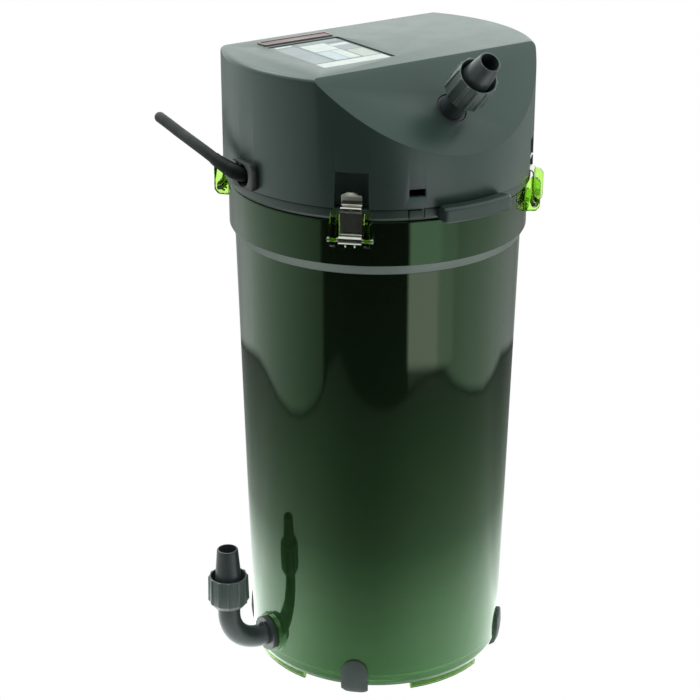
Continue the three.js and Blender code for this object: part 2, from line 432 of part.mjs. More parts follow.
// ---- screws that hold the head shell on its base ------------------------
[[56.4, 20.5], [-56.4, 20.5], [56.4, -20.5], [-56.4, -20.5]].forEach(([x, y], i) => {
  put(`head_screw_${'abcd'[i]}`, add(cyl(3.4, 272.6, 274.9, 12), cyl(1.5, 274.5, 290, 10)).translate(x, y, 0), 'steel');
});

export default root;
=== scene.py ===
"""Canister filter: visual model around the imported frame.

Lengths in the tables below are millimetres and are scaled to metres when a mesh is made.
Azimuth a is measured from -Y towards +X, as in the CAD source.
"""
import math

import bmesh
import bpy
import numpy as np
from mathutils import Matrix, Quaternion, Vector


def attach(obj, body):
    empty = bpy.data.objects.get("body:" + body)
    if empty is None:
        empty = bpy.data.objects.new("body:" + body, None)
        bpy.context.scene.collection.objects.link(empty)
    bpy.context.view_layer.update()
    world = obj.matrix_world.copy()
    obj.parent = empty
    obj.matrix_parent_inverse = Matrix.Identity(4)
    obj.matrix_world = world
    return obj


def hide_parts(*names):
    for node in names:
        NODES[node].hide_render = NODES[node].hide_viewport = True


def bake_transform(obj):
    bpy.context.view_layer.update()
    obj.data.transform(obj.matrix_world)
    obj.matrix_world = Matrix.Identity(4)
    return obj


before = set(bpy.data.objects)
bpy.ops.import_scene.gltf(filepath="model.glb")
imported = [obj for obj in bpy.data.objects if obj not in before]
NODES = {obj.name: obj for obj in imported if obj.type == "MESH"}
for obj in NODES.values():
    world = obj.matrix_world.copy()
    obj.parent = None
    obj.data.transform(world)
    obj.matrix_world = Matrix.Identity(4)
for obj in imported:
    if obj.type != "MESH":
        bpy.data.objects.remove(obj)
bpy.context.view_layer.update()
scene = bpy.context.scene
scene.view_settings.view_transform = "Standard"
MM = 0.001

# ---------------------------------------------------------------- dimensions
HEAD_TOP, HEAD_R, HEAD_BOTTOM, CUT_Y = 341.5, 80.0, 278.9, 41.0
FLANGE_TOP, FLANGE_BOTTOM, FLANGE_R = 278.5, 272.5, 79.0
RIM_Z, COLLAR_R, COLLAR_BOTTOM = 272.0, 77.5, 249.3
BODY_TOP_Z, BODY_TOP_R, BODY_BASE_R = 244.0, 74.6, 69.1
WALL = 2.8
CLIPS = {"front_left": -45, "front_right": 45, "rear_right": 135, "rear_left": -135}
PIN_R, PIN_Z = 82.2, 264.0
SPIGOT_X, INTAKE_Z, ELBOW_BEND, TUBE_R, TUBE_BORE = -97.0, 23.0, 20.0, 6.0, 4.5
OUT_Y, OUT_Z = -61.2, 321.3
S = math.sqrt(0.5)
OUT = Vector((0, -S, S))
GZ = 286.4
CORD_D = 6.0


def rad(a):
    return Vector((math.sin(math.radians(a)), -math.cos(math.radians(a)), 0))


def tan(a):
    return Vector((-math.cos(math.radians(a)), -math.sin(math.radians(a)), 0))


def out_pt(t):
    return Vector((0, OUT_Y - t * S, OUT_Z + t * S))


# ---------------------------------------------------------------- camera
cam_data = bpy.data.cameras.new("camera")
cam_data.lens = 98.64
cam_data.sensor_width = 36.0
cam_data.clip_start, cam_data.clip_end = 0.05, 50
cam = bpy.data.objects.new("camera", cam_data)
scene.collection.objects.link(cam)
cam.location = (-0.55996, -0.77584, 0.56754)
cam.rotation_mode = "QUATERNION"
cam.rotation_quaternion = Vector((0.5297, 0.7578, -0.3809)).to_track_quat("-Z", "Y")
scene.camera = cam
TO_CAM = Vector((-0.573, -0.8196, 0))      # level direction from the object to the camera
CAM_RIGHT = Vector((0.8196, -0.573, 0))


# ---------------------------------------------------------------- mesh helpers
def mesh_object(name, verts, faces, smooth=35, scale=MM):
    me = bpy.data.meshes.new(name)
    me.from_pydata([tuple(float(c) * scale for c in v) for v in verts], [], [tuple(f) for f in faces])
    me.update()
    ob = bpy.data.objects.new(name, me)
    scene.collection.objects.link(ob)
    tidy(ob, smooth)
    return ob


def tidy(ob, smooth=35, merge=1e-6, sliver=1e-7):
    bm = bmesh.new()
    bm.from_mesh(ob.data)
    if merge:
        bmesh.ops.remove_doubles(bm, verts=bm.verts, dist=merge)
    bmesh.ops.dissolve_degenerate(bm, dist=sliver, edges=bm.edges)
    bmesh.ops.recalc_face_normals(bm, faces=bm.faces)
    if len(bm.faces) and bm.calc_volume(signed=True) < 0:
        bmesh.ops.reverse_faces(bm, faces=bm.faces)
    bm.to_mesh(ob.data)
    bm.free()
    shade(ob, smooth)


def shade(ob, smooth=35):
    me = ob.data
    me.polygons.foreach_set("use_smooth", [True] * len(me.polygons))
    me.set_sharp_from_angle(angle=math.radians(smooth))
    me.update()


def bake(ob, smooth=35):
    """Applies the modifiers of ob to its mesh."""
    dg = bpy.context.evaluated_depsgraph_get()
    dg.update()
    me = bpy.data.meshes.new_from_object(ob.evaluated_get(dg))
    old = ob.data
    ob.modifiers.clear()
    ob.data = me
    bpy.data.meshes.remove(old)
    shade(ob, smooth)
    return ob


def boolean(ob, cutter, op="DIFFERENCE", keep=False):
    m = ob.modifiers.new("cut", "BOOLEAN")
    m.operation, m.solver, m.object = op, "EXACT", cutter
    bake(ob)
    if not keep:
        me = cutter.data
        bpy.data.objects.remove(cutter)
        bpy.data.meshes.remove(me)
    return ob


def bevel(ob, width, segments=2, angle=30, smooth=35):
    bm = bmesh.new()
    bm.from_mesh(ob.data)
    bmesh.ops.remove_doubles(bm, verts=bm.verts, dist=2e-6)
    bmesh.ops.dissolve_limit(bm, angle_limit=math.radians(0.4), verts=bm.verts, edges=bm.edges)
    bm.to_mesh(ob.data)
    bm.free()
    m = ob.modifiers.new("edge", "BEVEL")
    m.width, m.segments, m.limit_method = width * MM, segments, "ANGLE"
    m.angle_limit = math.radians(angle)
    m.use_clamp_overlap = True
    m.miter_outer = "MITER_ARC"
    m.harden_normals = False
    return bake(ob, smooth)


def join(name, obs, smooth=35):
    """One object from several closed pieces, without merging them."""
    bm = bmesh.new()
    for o in obs:
        bm.from_mesh(o.data)
    me = bpy.data.meshes.new(name)
    bm.to_mesh(me)
    bm.free()
    for o in obs:
        old = o.data
        bpy.data.objects.remove(o)
        bpy.data.meshes.remove(old)
    ob = bpy.data.objects.new(name, me)
    scene.collection.objects.link(ob)
    shade(ob, smooth)
    return ob


def place(ob, matrix):
    """Moves the mesh itself; matrix is in millimetres."""
    m = matrix.copy()
    m.translation = m.translation * MM
    ob.data.transform(m)
    ob.data.update()
    return ob


def axis_matrix(c, d, up=(0, 0, 1)):
    """Takes +Z to d and the origin to c."""
    q = Vector((0, 0, 1)).rotation_difference(Vector(d).normalized())
    m = q.to_matrix().to_4x4()
    m.translation = Vector(c)
    return m


def rounded(pts, closed=False, n=4):
    """Rounds the corners of an outline. Each point is (x, y) or (x, y, radius)."""
    out, k = [], len(pts)
    for i, p in enumerate(pts):
        r = p[2] if len(p) > 2 else 0
        if r <= 0 or (not closed and i in (0, k - 1)):
            out.append((p[0], p[1]))
            continue
        a, b, c = (Vector(pts[(i - 1) % k][:2]), Vector(p[:2]), Vector(pts[(i + 1) % k][:2]))
        u, v = (a - b), (c - b)
        lu, lv = u.length, v.length
        u.normalize(), v.normalize()
        ang = math.acos(max(-1, min(1, u.dot(v))))
        if ang > math.pi - 1e-3:
            out.append((p[0], p[1]))
            continue
        d = min(r / math.tan(ang / 2), 0.49 * lu, 0.49 * lv)
        rr = d * math.tan(ang / 2)
        mid = (u + v).normalized()
        centre = b + mid * (rr / math.sin(ang / 2))
        s0, s1 = b + u * d - centre, b + v * d - centre
        t0, t1 = math.atan2(s0.y, s0.x), math.atan2(s1.y, s1.x)
        dt = (t1 - t0 + math.pi) % (2 * math.pi) - math.pi
        for j in range(n + 1):
            t = t0 + dt * j / n
            out.append((centre.x + rr * math.cos(t), centre.y + rr * math.sin(t)))
    return out


def lathe(name, prof, seg=128, closed=False, smooth=35):
    """A profile of (r, z) turned about Z. Points on the axis close it."""
    verts, faces, rows = [], [], []
    for r, z in prof:
        if r < 1e-6:
            rows.append([len(verts)])
            verts.append((0, 0, z))
        else:
            rows.append(list(range(len(verts), len(verts) + seg)))
            for j in range(seg):
                t = 2 * math.pi * j / seg
                verts.append((r * math.cos(t), r * math.sin(t), z))
    pairs = list(zip(rows, rows[1:])) + ([(rows[-1], rows[0])] if closed else [])
    for a, b in pairs:
        for j in range(seg):
            k = (j + 1) % seg
            if len(a) == 1 and len(b) == 1:
                continue
            if len(a) == 1:
                faces.append((a[0], b[k], b[j]))
            elif len(b) == 1:
                faces.append((a[j], a[k], b[0]))
            else:
                faces.append((a[j], a[k], b[k], b[j]))
    return mesh_object(name, verts, faces, smooth)


def box(name, x0, x1, y0, y1, z0, z1):
    v = [(x, y, z) for x in (x0, x1) for y in (y0, y1) for z in (z0, z1)]
    f = [(0, 1, 3, 2), (4, 6, 7, 5), (0, 4, 5, 1), (2, 3, 7, 6), (0, 2, 6, 4), (1, 5, 7, 3)]
    return mesh_object(name, v, f)


def extrude(name, outline, t0, t1, u, v, w, origin=(0, 0, 0), smooth=35):
    """Outline of (x, y) along the directions u and v, pushed along w from t0 to t1."""
    u, v, w, o = Vector(u), Vector(v), Vector(w), Vector(origin)
    n = len(outline)
    verts = [o + u * x + v * y + w * t for t in (t0, t1) for x, y in outline]
    faces = [tuple(range(n))[::-1], tuple(range(n, 2 * n))]
    faces += [(i, (i + 1) % n, n + (i + 1) % n, n + i) for i in range(n)]
    return mesh_object(name, verts, faces, smooth)


def frames(path):
    """A direction and two cross directions at each point of a line, without twist."""
    p = [Vector(q) for q in path]
    n = len(p)
    out = []
    u = None
    for i in range(n):
        d = (p[min(n - 1, i + 1)] - p[max(0, i - 1)]).normalized()
        if u is None:
            ref = Vector((0, 0, 1)) if abs(d.z) < 0.9 else Vector((0, 1, 0))
            u = (ref - d * ref.dot(d)).normalized()
        else:
            u = (u - d * u.dot(d)).normalized()
        out.append((p[i], d, u, d.cross(u)))
    return out


def sweep(name, path, radii, seg=16, inner=None, smooth=35, shape=None):
    """A tube along a line. radii has one radius per point; inner, if given, is the bore's."""
    fr = frames(path)
    verts, faces = [], []

    def ringof(i, r):
        c, d, u, v = fr[i]
        start = len(verts)
        for j in range(seg):
            t = 2 * math.pi * j / seg
            k = shape(i, t) if shape else 1
            verts.append(c + (u * math.cos(t) + v * math.sin(t)) * r * k)
        return list(range(start, start + seg))

    rows = [ringof(i, r) for i, r in enumerate(radii)]
    if inner:
        rows += [ringof(i, inner[i]) for i in reversed(range(len(radii)))]
    pairs = list(zip(rows, rows[1:])) + ([(rows[-1], rows[0])] if inner else [])
    for a, b in pairs:
        for j in range(seg):
            k = (j + 1) % seg
            faces.append((a[j], a[k], b[k], b[j]))
    if not inner:
        faces.append(tuple(rows[0])[::-1])
        faces.append(tuple(rows[-1]))
    return mesh_object(name, verts, faces, smooth)


def smooth_line(pts, step):
    """A centripetal Catmull-Rom line through points, with samples about step apart."""
    p = [Vector(q) for q in pts]
    p = [p[0] * 2 - p[1]] + p + [p[-1] * 2 - p[-2]]
    out = []
    for i in range(1, len(p) - 2):
        p0, p1, p2, p3 = p[i - 1:i + 3]
        t0 = 0.0
        t1 = t0 + max(1e-6, (p1 - p0).length) ** 0.5
        t2 = t1 + max(1e-6, (p2 - p1).length) ** 0.5
        t3 = t2 + max(1e-6, (p3 - p2).length) ** 0.5
        n = max(1, round((p2 - p1).length / step))
        for j in range(n):
            t = t1 + (t2 - t1) * j / n
            a1 = p0 * ((t1 - t) / (t1 - t0)) + p1 * ((t - t0) / (t1 - t0))
            a2 = p1 * ((t2 - t) / (t2 - t1)) + p2 * ((t - t1) / (t2 - t1))
            a3 = p2 * ((t3 - t) / (t3 - t2)) + p3 * ((t - t2) / (t3 - t2))
            b1 = a1 * ((t2 - t) / (t2 - t0)) + a2 * ((t - t0) / (t2 - t0))
            b2 = a2 * ((t3 - t) / (t3 - t1)) + a3 * ((t - t1) / (t3 - t1))
            out.append(b1 * ((t2 - t) / (t2 - t1)) + b2 * ((t - t1) / (t2 - t1)))
    out.append(p[-2])
    return out


# ---------------------------------------------------------------- materials
MATS = {}


def material(name, base, rough=0.5, metal=0.0, var=0.12, var_scale=60.0, grain=0.0, grain_scale=2500.0,
             rough_var=0.06, rough_scale=90.0, coat=0.0, coat_rough=0.1, spec=0.5, ior=1.5, trans=0.0,
             stretch=(1, 1, 1), aniso=0.0, sheen=0.0, edge_wear_and_highlight=0.0, bump_dist=0.0002, gradient=None, spec_tint=(1, 1, 1)):
    """Principled material whose colour, roughness and bump come from noise in object space."""
    m = bpy.data.materials.new(name)
    m.use_nodes = True
    nt = m.node_tree
    nt.nodes.clear()
    out = nt.nodes.new("ShaderNodeOutputMaterial")
    p = nt.nodes.new("ShaderNodeBsdfPrincipled")
    nt.links.new(p.outputs[0], out.inputs[0])
    p.inputs["Metallic"].default_value = metal
    p.inputs["IOR"].default_value = ior
    p.inputs["Specular IOR Level"].default_value = spec
    p.inputs["Coat Weight"].default_value = coat
    p.inputs["Coat Roughness"].default_value = coat_rough
    p.inputs["Transmission Weight"].default_value = trans
    p.inputs["Sheen Weight"].default_value = sheen
    p.inputs["Anisotropic"].default_value = aniso
    p.inputs["Specular Tint"].default_value = tuple(spec_tint) + (1,)
    tc = nt.nodes.new("ShaderNodeTexCoord")
    mp = nt.nodes.new("ShaderNodeMapping")
    mp.inputs["Scale"].default_value = stretch
    nt.links.new(tc.outputs["Object"], mp.inputs["Vector"])

    def noise(scale, detail=3, rough_=0.55):
        n = nt.nodes.new("ShaderNodeTexNoise")
        n.inputs["Scale"].default_value = scale
        n.inputs["Detail"].default_value = detail
        n.inputs["Roughness"].default_value = rough_
        nt.links.new(mp.outputs[0], n.inputs["Vector"])
        return n

    n1 = noise(var_scale)
    ramp = nt.nodes.new("ShaderNodeValToRGB")
    ramp.color_ramp.elements[0].position = 0.3
    ramp.color_ramp.elements[1].position = 0.7
    ramp.color_ramp.elements[0].color = tuple(c * (1 - var) for c in base) + (1,)
    ramp.color_ramp.elements[1].color = tuple(min(1, c * (1 + var)) for c in base) + (1,)
    nt.links.new(n1.outputs["Fac"], ramp.inputs["Fac"])
    colour = ramp.outputs["Color"]
    if gradient:
        # gradient: [(height in mm, colour), ...] up the object, used to paint light that changes with height
        sep = nt.nodes.new("ShaderNodeSeparateXYZ")
        nt.links.new(tc.outputs["Object"], sep.inputs[0])
        mr = nt.nodes.new("ShaderNodeMapRange")
        z0, z1 = gradient[0][0] * MM, gradient[-1][0] * MM
        mr.inputs["From Min"].default_value = z0
        mr.inputs["From Max"].default_value = z1
        nt.links.new(sep.outputs["Z"], mr.inputs["Value"])
        g = nt.nodes.new("ShaderNodeValToRGB")
        el = g.color_ramp.elements
        while len(el) < len(gradient):
            el.new(0.5)
        for e, (z, c) in zip(el, gradient):
            e.position = (z * MM - z0) / (z1 - z0)
            e.color = tuple(c) + (1,)
        nt.links.new(mr.outputs[0], g.inputs["Fac"])
        mix = nt.nodes.new("ShaderNodeMix")
        mix.data_type, mix.blend_type = "RGBA", "MULTIPLY"
        mix.inputs["Factor"].default_value = 1.0
        ramp.color_ramp.elements[0].color = (1 - var,) * 3 + (1,)
        ramp.color_ramp.elements[1].color = (1,) * 4
        nt.links.new(ramp.outputs["Color"], mix.inputs["A"])
        nt.links.new(g.outputs["Color"], mix.inputs["B"])
        colour = mix.outputs["Result"]
    if edge_wear_and_highlight:
        # paler plastic along convex edges: partly real wear, partly a painted edge highlight
        geo = nt.nodes.new("ShaderNodeNewGeometry")
        pr = nt.nodes.new("ShaderNodeMapRange")
        pr.inputs["From Min"].default_value = 0.5
        pr.inputs["From Max"].default_value = 0.62
        nt.links.new(geo.outputs["Pointiness"], pr.inputs["Value"])
        mul = nt.nodes.new("ShaderNodeMath")
        mul.operation = "MULTIPLY"
        mul.inputs[1].default_value = edge_wear_and_highlight
        nt.links.new(pr.outputs[0], mul.inputs[0])
        mix2 = nt.nodes.new("ShaderNodeMix")
        mix2.data_type = "RGBA"
        mix2.inputs["B"].default_value = tuple(min(1, c * 1.9 + 0.03) for c in base) + (1,)
        nt.links.new(mul.outputs[0], mix2.inputs["Factor"])
        nt.links.new(colour, mix2.inputs["A"])
        colour = mix2.outputs["Result"]
    nt.links.new(colour, p.inputs["Base Color"])
    n2 = noise(rough_scale, 4)
    mr2 = nt.nodes.new("ShaderNodeMapRange")
    mr2.inputs["From Min"].default_value = 0.3
    mr2.inputs["From Max"].default_value = 0.7
    mr2.inputs["To Min"].default_value = max(0.0, rough - rough_var)
    mr2.inputs["To Max"].default_value = min(1.0, rough + rough_var)
    nt.links.new(n2.outputs["Fac"], mr2.inputs["Value"])
    nt.links.new(mr2.outputs[0], p.inputs["Roughness"])
    if grain:
        n3 = noise(grain_scale, 2)
        b = nt.nodes.new("ShaderNodeBump")
        b.inputs["Strength"].default_value = grain
        b.inputs["Distance"].default_value = bump_dist
        nt.links.new(n3.outputs["Fac"], b.inputs["Height"])
        nt.links.new(b.outputs[0], p.inputs["Normal"])
    MATS[name] = m
    return m


HEAD = material("head_plastic_satin", (0.030, 0.050, 0.044), rough=0.33, rough_var=0.02, grain=0.16, grain_scale=2200, var=0.03, var_scale=35, spec=0.46, spec_tint=(0.87, 1, 0.96))
BASE = material("head_base_satin", (0.027, 0.043, 0.038), rough=0.38, rough_var=0.03, grain=0.14, grain_scale=2200, var=0.05, spec=0.44, spec_tint=(0.87, 1, 0.96))
# painted light: the gradient makes the canister pale green at the base and nearly black at the top, standing in for
# floor light shining up through the base; the green specular tint paints transmitted light into the reflections
SMOKE = material("smoky_green_plastic", (1, 1, 1), rough=0.035, rough_var=0.02, trans=0.62, ior=1.5, var=0.05, var_scale=12, spec_tint=(0.55, 1.0, 0.54),
                 gradient=[(0, (0.105, 0.310, 0.085)), (50, (0.060, 0.170, 0.050)), (100, (0.034, 0.085, 0.026)),
                           (180, (0.014, 0.028, 0.012)), (275, (0.011, 0.018, 0.009))])
# painted highlight: the step under the collar is rougher and paler than the canister, standing in for the bright band
# of light on it
STEP_HIGHLIGHT = material("rough_step_painted_highlight", (0.150, 0.190, 0.165), rough=0.38, var=0.10, var_scale=40, grain=0.1)
LIME = material("clear_lime_plastic", (0.40, 0.66, 0.13), rough=0.05, trans=1.0, ior=1.16, var=0.10, var_scale=150)
FITTING = material("fitting_plastic_grey", (0.070, 0.092, 0.086), rough=0.42, grain=0.15, grain_scale=2500, edge_wear_and_highlight=0.4, var=0.06)
ELBOW = material("fitting_plastic_dark", (0.040, 0.050, 0.052), rough=0.34, grain=0.08, grain_scale=2500, var=0.08, edge_wear_and_highlight=0.2)
STEEL = material("clip_steel_brushed", (0.44, 0.44, 0.39), rough=0.17, metal=1.0, var=0.06, var_scale=300, stretch=(1, 1, 0.06),
                 rough_var=0.05, rough_scale=900, grain=0.06, grain_scale=2600, bump_dist=0.00005)
PIN = material("pin_steel", (0.38, 0.38, 0.36), rough=0.25, metal=1.0, var=0.06, var_scale=400, rough_scale=700)
RUBBER = material("foot_rubber", (0.045, 0.060, 0.055), rough=0.62, grain=0.3, grain_scale=1600, var=0.12, var_scale=120, sheen=0.05)
SEAL = material("seal_rubber", (0.02, 0.021, 0.02), rough=0.5, grain=0.1, var=0.15)
BLACK = material("black_plastic", (0.016, 0.021, 0.020), rough=0.42, grain=0.15, var=0.1, edge_wear_and_highlight=0.2, spec=0.4)
SHEATH = material("cord_sheath", (0.008, 0.011, 0.010), rough=0.46, grain=0.12, grain_scale=1500, var=0.15, var_scale=90, spec=0.05)
FOAM = material("blue_foam", (0.045, 0.11, 0.19), rough=0.95, grain=1.0, grain_scale=700, var=0.45, var_scale=650, rough_var=0.03, bump_dist=0.0012)
FELT = material("carbon_felt", (0.012, 0.013, 0.014), rough=0.95, grain=1.0, grain_scale=1100, var=0.5, var_scale=800, bump_dist=0.0008)
BRASS = material("plug_brass", (0.72, 0.55, 0.27), rough=0.28, metal=1.0, var=0.06, var_scale=300, rough_scale=600)
CERAMIC = material("ceramic_shaft", (0.80, 0.79, 0.74), rough=0.25, var=0.03, var_scale=200)
FERRITE = material("ferrite", (0.045, 0.047, 0.05), rough=0.5, metal=0.3, var=0.2, var_scale=500, grain=0.2)
IRON = material("core_iron", (0.23, 0.235, 0.24), rough=0.42, metal=0.9, var=0.25, var_scale=700, stretch=(0.02, 0.02, 1), grain=0.5, grain_scale=1500)
COPPER = material("coil_copper", (0.55, 0.24, 0.11), rough=0.35, metal=0.9, var=0.3, var_scale=900, stretch=(0.05, 0.05, 1), grain=0.6, grain_scale=1800)
LABEL = material("label_grey", (0.133, 0.156, 0.156), rough=0.45, var=0.06, var_scale=300)
LABEL_W = material("label_white", (0.446, 0.475, 0.461), rough=0.45, var=0.05, var_scale=250)
LABEL_B = material("label_pale", (0.360, 0.418, 0.454), rough=0.45, var=0.05, var_scale=250)
LABEL_C = material("label_cream", (0.331, 0.360, 0.317), rough=0.45, var=0.10, var_scale=400)
LABEL_D = material("label_mid", (0.22, 0.25, 0.26), rough=0.45, var=0.05, var_scale=250)
BADGE = material("badge_muted_red", (0.115, 0.060, 0.066), rough=0.32, var=0.12, var_scale=120, grain=0.06, edge_wear_and_highlight=0.5)


def give(ob, *mats):
    ob.data.materials.clear()
    for m in mats:
        ob.data.materials.append(m)
    return ob


def piece(ob, body, *nodes, slot=None, mats=()):
    if mats:
        give(ob, *mats)
    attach(ob, body)
    if nodes:
        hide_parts(*nodes)
    return ob


# ---------------------------------------------------------------- cord
RUN = [(-84.5, 7.5, 287.8), (-85.3, 12.5, 288.8), (-85.5, 18.0, 289.6), (-85.0, 25.0, 290.4), (-83.7, 34.0, 290.8), (-81.0, 48.0, 290.7),
       (-77.8, 62.0, 290.2), (-74.5, 76.0, 289.6), (-71.3, 89.0, 289.1), (-68.6, 100.0, 288.6), (-65.6, 110.5, 287.7), (-60.6, 120.0, 285.0),
       (-53.2, 127.8, 279.9), (-43.8, 132.6, 272.5), (-33.0, 134.2, 263.5), (-22.0, 133.8, 254.1), (-12.0, 134.5, 244.8), (-3.5, 136.2, 234.0),
       (3.5, 138.4, 221.0), (8.5, 140.4, 205.0), (12.0, 141.8, 187.0), (15.0, 143.0, 160.0), (17.5, 144.6, 130.0), (19.4, 146.6, 95.0),
       (20.3, 148.6, 66.0), (20.6, 149.8, 46.0)]
# one wide bend from the fall to the floor
RUN += [(19.5 + 1.1 * math.sin(math.radians(q)), 122 + 28 * math.sin(math.radians(q)), 3.4 + 28 - 28 * math.cos(math.radians(q)))
        for q in (90, 75, 60, 45, 30, 15, 0)]
COIL = (60.0, 112.0)
R_OUT, R_IN, LAYER = 40.7, 34.6, (3.4, 9.5, 15.6)


def ease(x, a, b):
    t = max(0.0, min(1.0, (x - a) / (b - a)))
    return t * t * (3 - 2 * t)


def coil_at(phi):
    """Place on the coil after phi degrees: spiral in, up, out, up and in again."""
    r = R_OUT - (R_OUT - R_IN) * (ease(phi, 274, 358) - ease(phi, 846, 930) + ease(phi, 1414, 1498)) + (44.4 - R_IN) * ease(phi, 1625, 1730)
    z = LAYER[0] + (LAYER[1] - LAYER[0]) * (ease(phi, 574, 630) + ease(phi, 1146, 1202)) + 11.2 * ease(phi, 1605, 1708)
    t = math.radians(180 + phi)
    return Vector((COIL[0] + r * math.cos(t), COIL[1] + r * math.sin(t), z))


PLUG_C = Vector((28.5, 113, 26.8))
coil_pts = [coil_at(p) for p in range(6, 1729, 6)]
# the last quarter swings over the coil into the plug
pe = coil_pts[-1]
pc = Vector((pe.x + 26 * math.sin(math.radians(18)), pe.y - 26 * math.cos(math.radians(18)), pe.z))
swing = [pc + Vector((26 * math.cos(math.radians(108 + q)), 26 * math.sin(math.radians(108 + q)), 0)) for q in (9, 18, 27, 36, 45, 54, 63, 72)]
cord_line = smooth_line(RUN + [coil_pts[0]], 3.0)[:-1] + coil_pts + swing + [swing[-1] + Vector((0.05, -4, 0))]
cord_len = sum((b - a).length for a, b in zip(cord_line, cord_line[1:]))
print("cord length mm", round(cord_len, 1))
cord = sweep("mains_cord", cord_line, [CORD_D / 2] * len(cord_line), seg=14, smooth=60)
give(cord, SHEATH)
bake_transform(cord)
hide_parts("cord_run", "cord_coil")

# plug: moulded body with a waist and finger grooves, and a ribbed sleeve on the cord
def plug_mesh():
    prof = [(-17, 8.6, 5.2), (-16.4, 9.2, 5.6), (-11, 10.2, 5.7), (-5, 10.4, 5.9), (1, 11.0, 6.3), (4, 11.4, 6.5),
            (6, 11.0, 6.2), (8, 11.5, 6.5), (10, 11.0, 6.2), (12, 11.4, 6.4), (14, 10.8, 6.2), (16.4, 10.2, 5.8), (17, 9.6, 5.4)]
    prof = [(y, w, h) for y, w, h in prof]
    verts, faces, rows = [], [], []
    seg = 32
    for y, w, h in prof:
        rows.append(list(range(len(verts), len(verts) + seg)))
        for j in range(seg):
            t = 2 * math.pi * j / seg
            c, s = math.cos(t), math.sin(t)
            k = (abs(c) ** 3.2 + abs(s) ** 3.2) ** (-1 / 3.2)
            verts.append(PLUG_C + Vector((w * c * k, -y, h * s * k)))
    for a, b in zip(rows, rows[1:]):
        for j in range(seg):
            faces.append((a[j], a[(j + 1) % seg], b[(j + 1) % seg], b[j]))
    faces.append(tuple(rows[0])[::-1])
    faces.append(tuple(rows[-1]))
    body = mesh_object("plug_shell", verts, faces, 40)
    line = [PLUG_C + Vector((0, y, 0)) for y in (10, 16.6, 17.6, 18.6, 19.4, 20.6, 21.4, 22.6, 23.4)]
    sleeve = sweep("plug_sleeve", line, [5, 4.9, 4.9, 4.2, 4.7, 4.6, 4.0, 4.4, 3.7], seg=24)
    return join("plug_moulded", [body, sleeve], 40)


plug = piece(plug_mesh(), "canister", "plug_body", slot="cord_sheath", mats=(BLACK,))
for k, d in enumerate((-9.5, 9.5)):
    x = PLUG_C.x + d
    ln = [(x, PLUG_C.y - 8, PLUG_C.z), (x, PLUG_C.y - 24, PLUG_C.z), (x, PLUG_C.y - 34.6, PLUG_C.z), (x, PLUG_C.y - 35.6, PLUG_C.z), (x, PLUG_C.y - 36, PLUG_C.z)]
    pin = sweep(f"plug_pin_turned_{'ab'[k]}", ln, [2, 2, 2, 1.5, 0.6], seg=20)
    piece(pin, "canister", f"plug_pin_{'ab'[k]}", slot="plug_brass", mats=(BRASS,))

# tie: a flat rubber band round the coil with a small buckle
tie_out = rounded([(26.9, 0.1, 4), (47.7, 0.1, 4), (47.7, 20.9, 4), (26.9, 20.9, 4)], True, 5)
tie_in = rounded([(28.3, 0.6, 3.6), (46.5, 0.6, 3.6), (46.5, 20.0, 3.6), (28.3, 20.0, 3.6)], True, 5)
tie = extrude("tie_band", tie_out, -3.6, 3.6, (1, 0, 0), (0, 0, 1), (0, 1, 0), (COIL[0], COIL[1], 0))
boolean(tie, extrude("tie_hole", tie_in, -9, 9, (1, 0, 0), (0, 0, 1), (0, 1, 0), (COIL[0], COIL[1], 0)))
bevel(tie, 0.3, 2)
buckle = box("tie_buckle", COIL[0] + 34, COIL[0] + 40, COIL[1] - 3.2, COIL[1] + 3.2, 19.9, 21.2)
bevel(buckle, 0.4, 2)
tie = piece(join("coil_band", [tie, buckle]), "canister", "coil_tie", slot="seal_rubber", mats=(SEAL,))


# ---------------------------------------------------------------- canister
def wall_r(z):
    return BODY_BASE_R + (BODY_TOP_R - BODY_BASE_R) * (z - 10) / (BODY_TOP_Z - 10)


body_prof = rounded([
    (0, 0), (12, 0, 0.5), (12, 4.5, 0.8), (65.4, 4.5, 0.5), (67.9, 5.4, 1.5), (69.05, 8, 2.5),
    (wall_r(60), 60), (wall_r(120), 120), (wall_r(180), 180),
    (BODY_TOP_R, BODY_TOP_Z, 0.5), (COLLAR_R, COLLAR_BOTTOM, 0.6), (COLLAR_R, RIM_Z, 0.9),
    (72, RIM_Z, 0.5), (71.8, BODY_TOP_Z, 1.5), (wall_r(180) - WALL, 180), (wall_r(120) - WALL, 120), (wall_r(60) - WALL, 60),
    (wall_r(12) - WALL, 11, 3.5), (62, 7.6, 2), (0, 7.6)], n=4)
body = lathe("canister_wall", body_prof, 144)

parts = []
ear = rounded([(75.5, 259.6), (83.2, 260.0, 1.6), (85.2, 262.4, 1.6), (85.2, 275.2, 2.2), (83.0, 277.7, 1.8), (80.4, 277.7, 0.5),
               (80.4, 271.6, 0.3), (75.5, 271.6)], True, 4)
rib = rounded([(76.6, 257.4), (78.6, 258.0, 0.5), (78.6, 262.2, 0.5), (76.6, 263.2)], True, 3)
for a in CLIPS.values():
    for t0, t1 in ((-9.8, -6.8), (6.8, 9.8)):
        e = extrude("ear", ear, t0, t1, rad(a), (0, 0, 1), tan(a))
        bevel(e, 0.45, 2)
        parts.append(e)
    for t0, t1 in ((-4.4, -3.2), (3.2, 4.4)):
        parts.append(bevel(extrude("rib", rib, t0, t1, rad(a), (0, 0, 1), tan(a)), 0.2, 2))
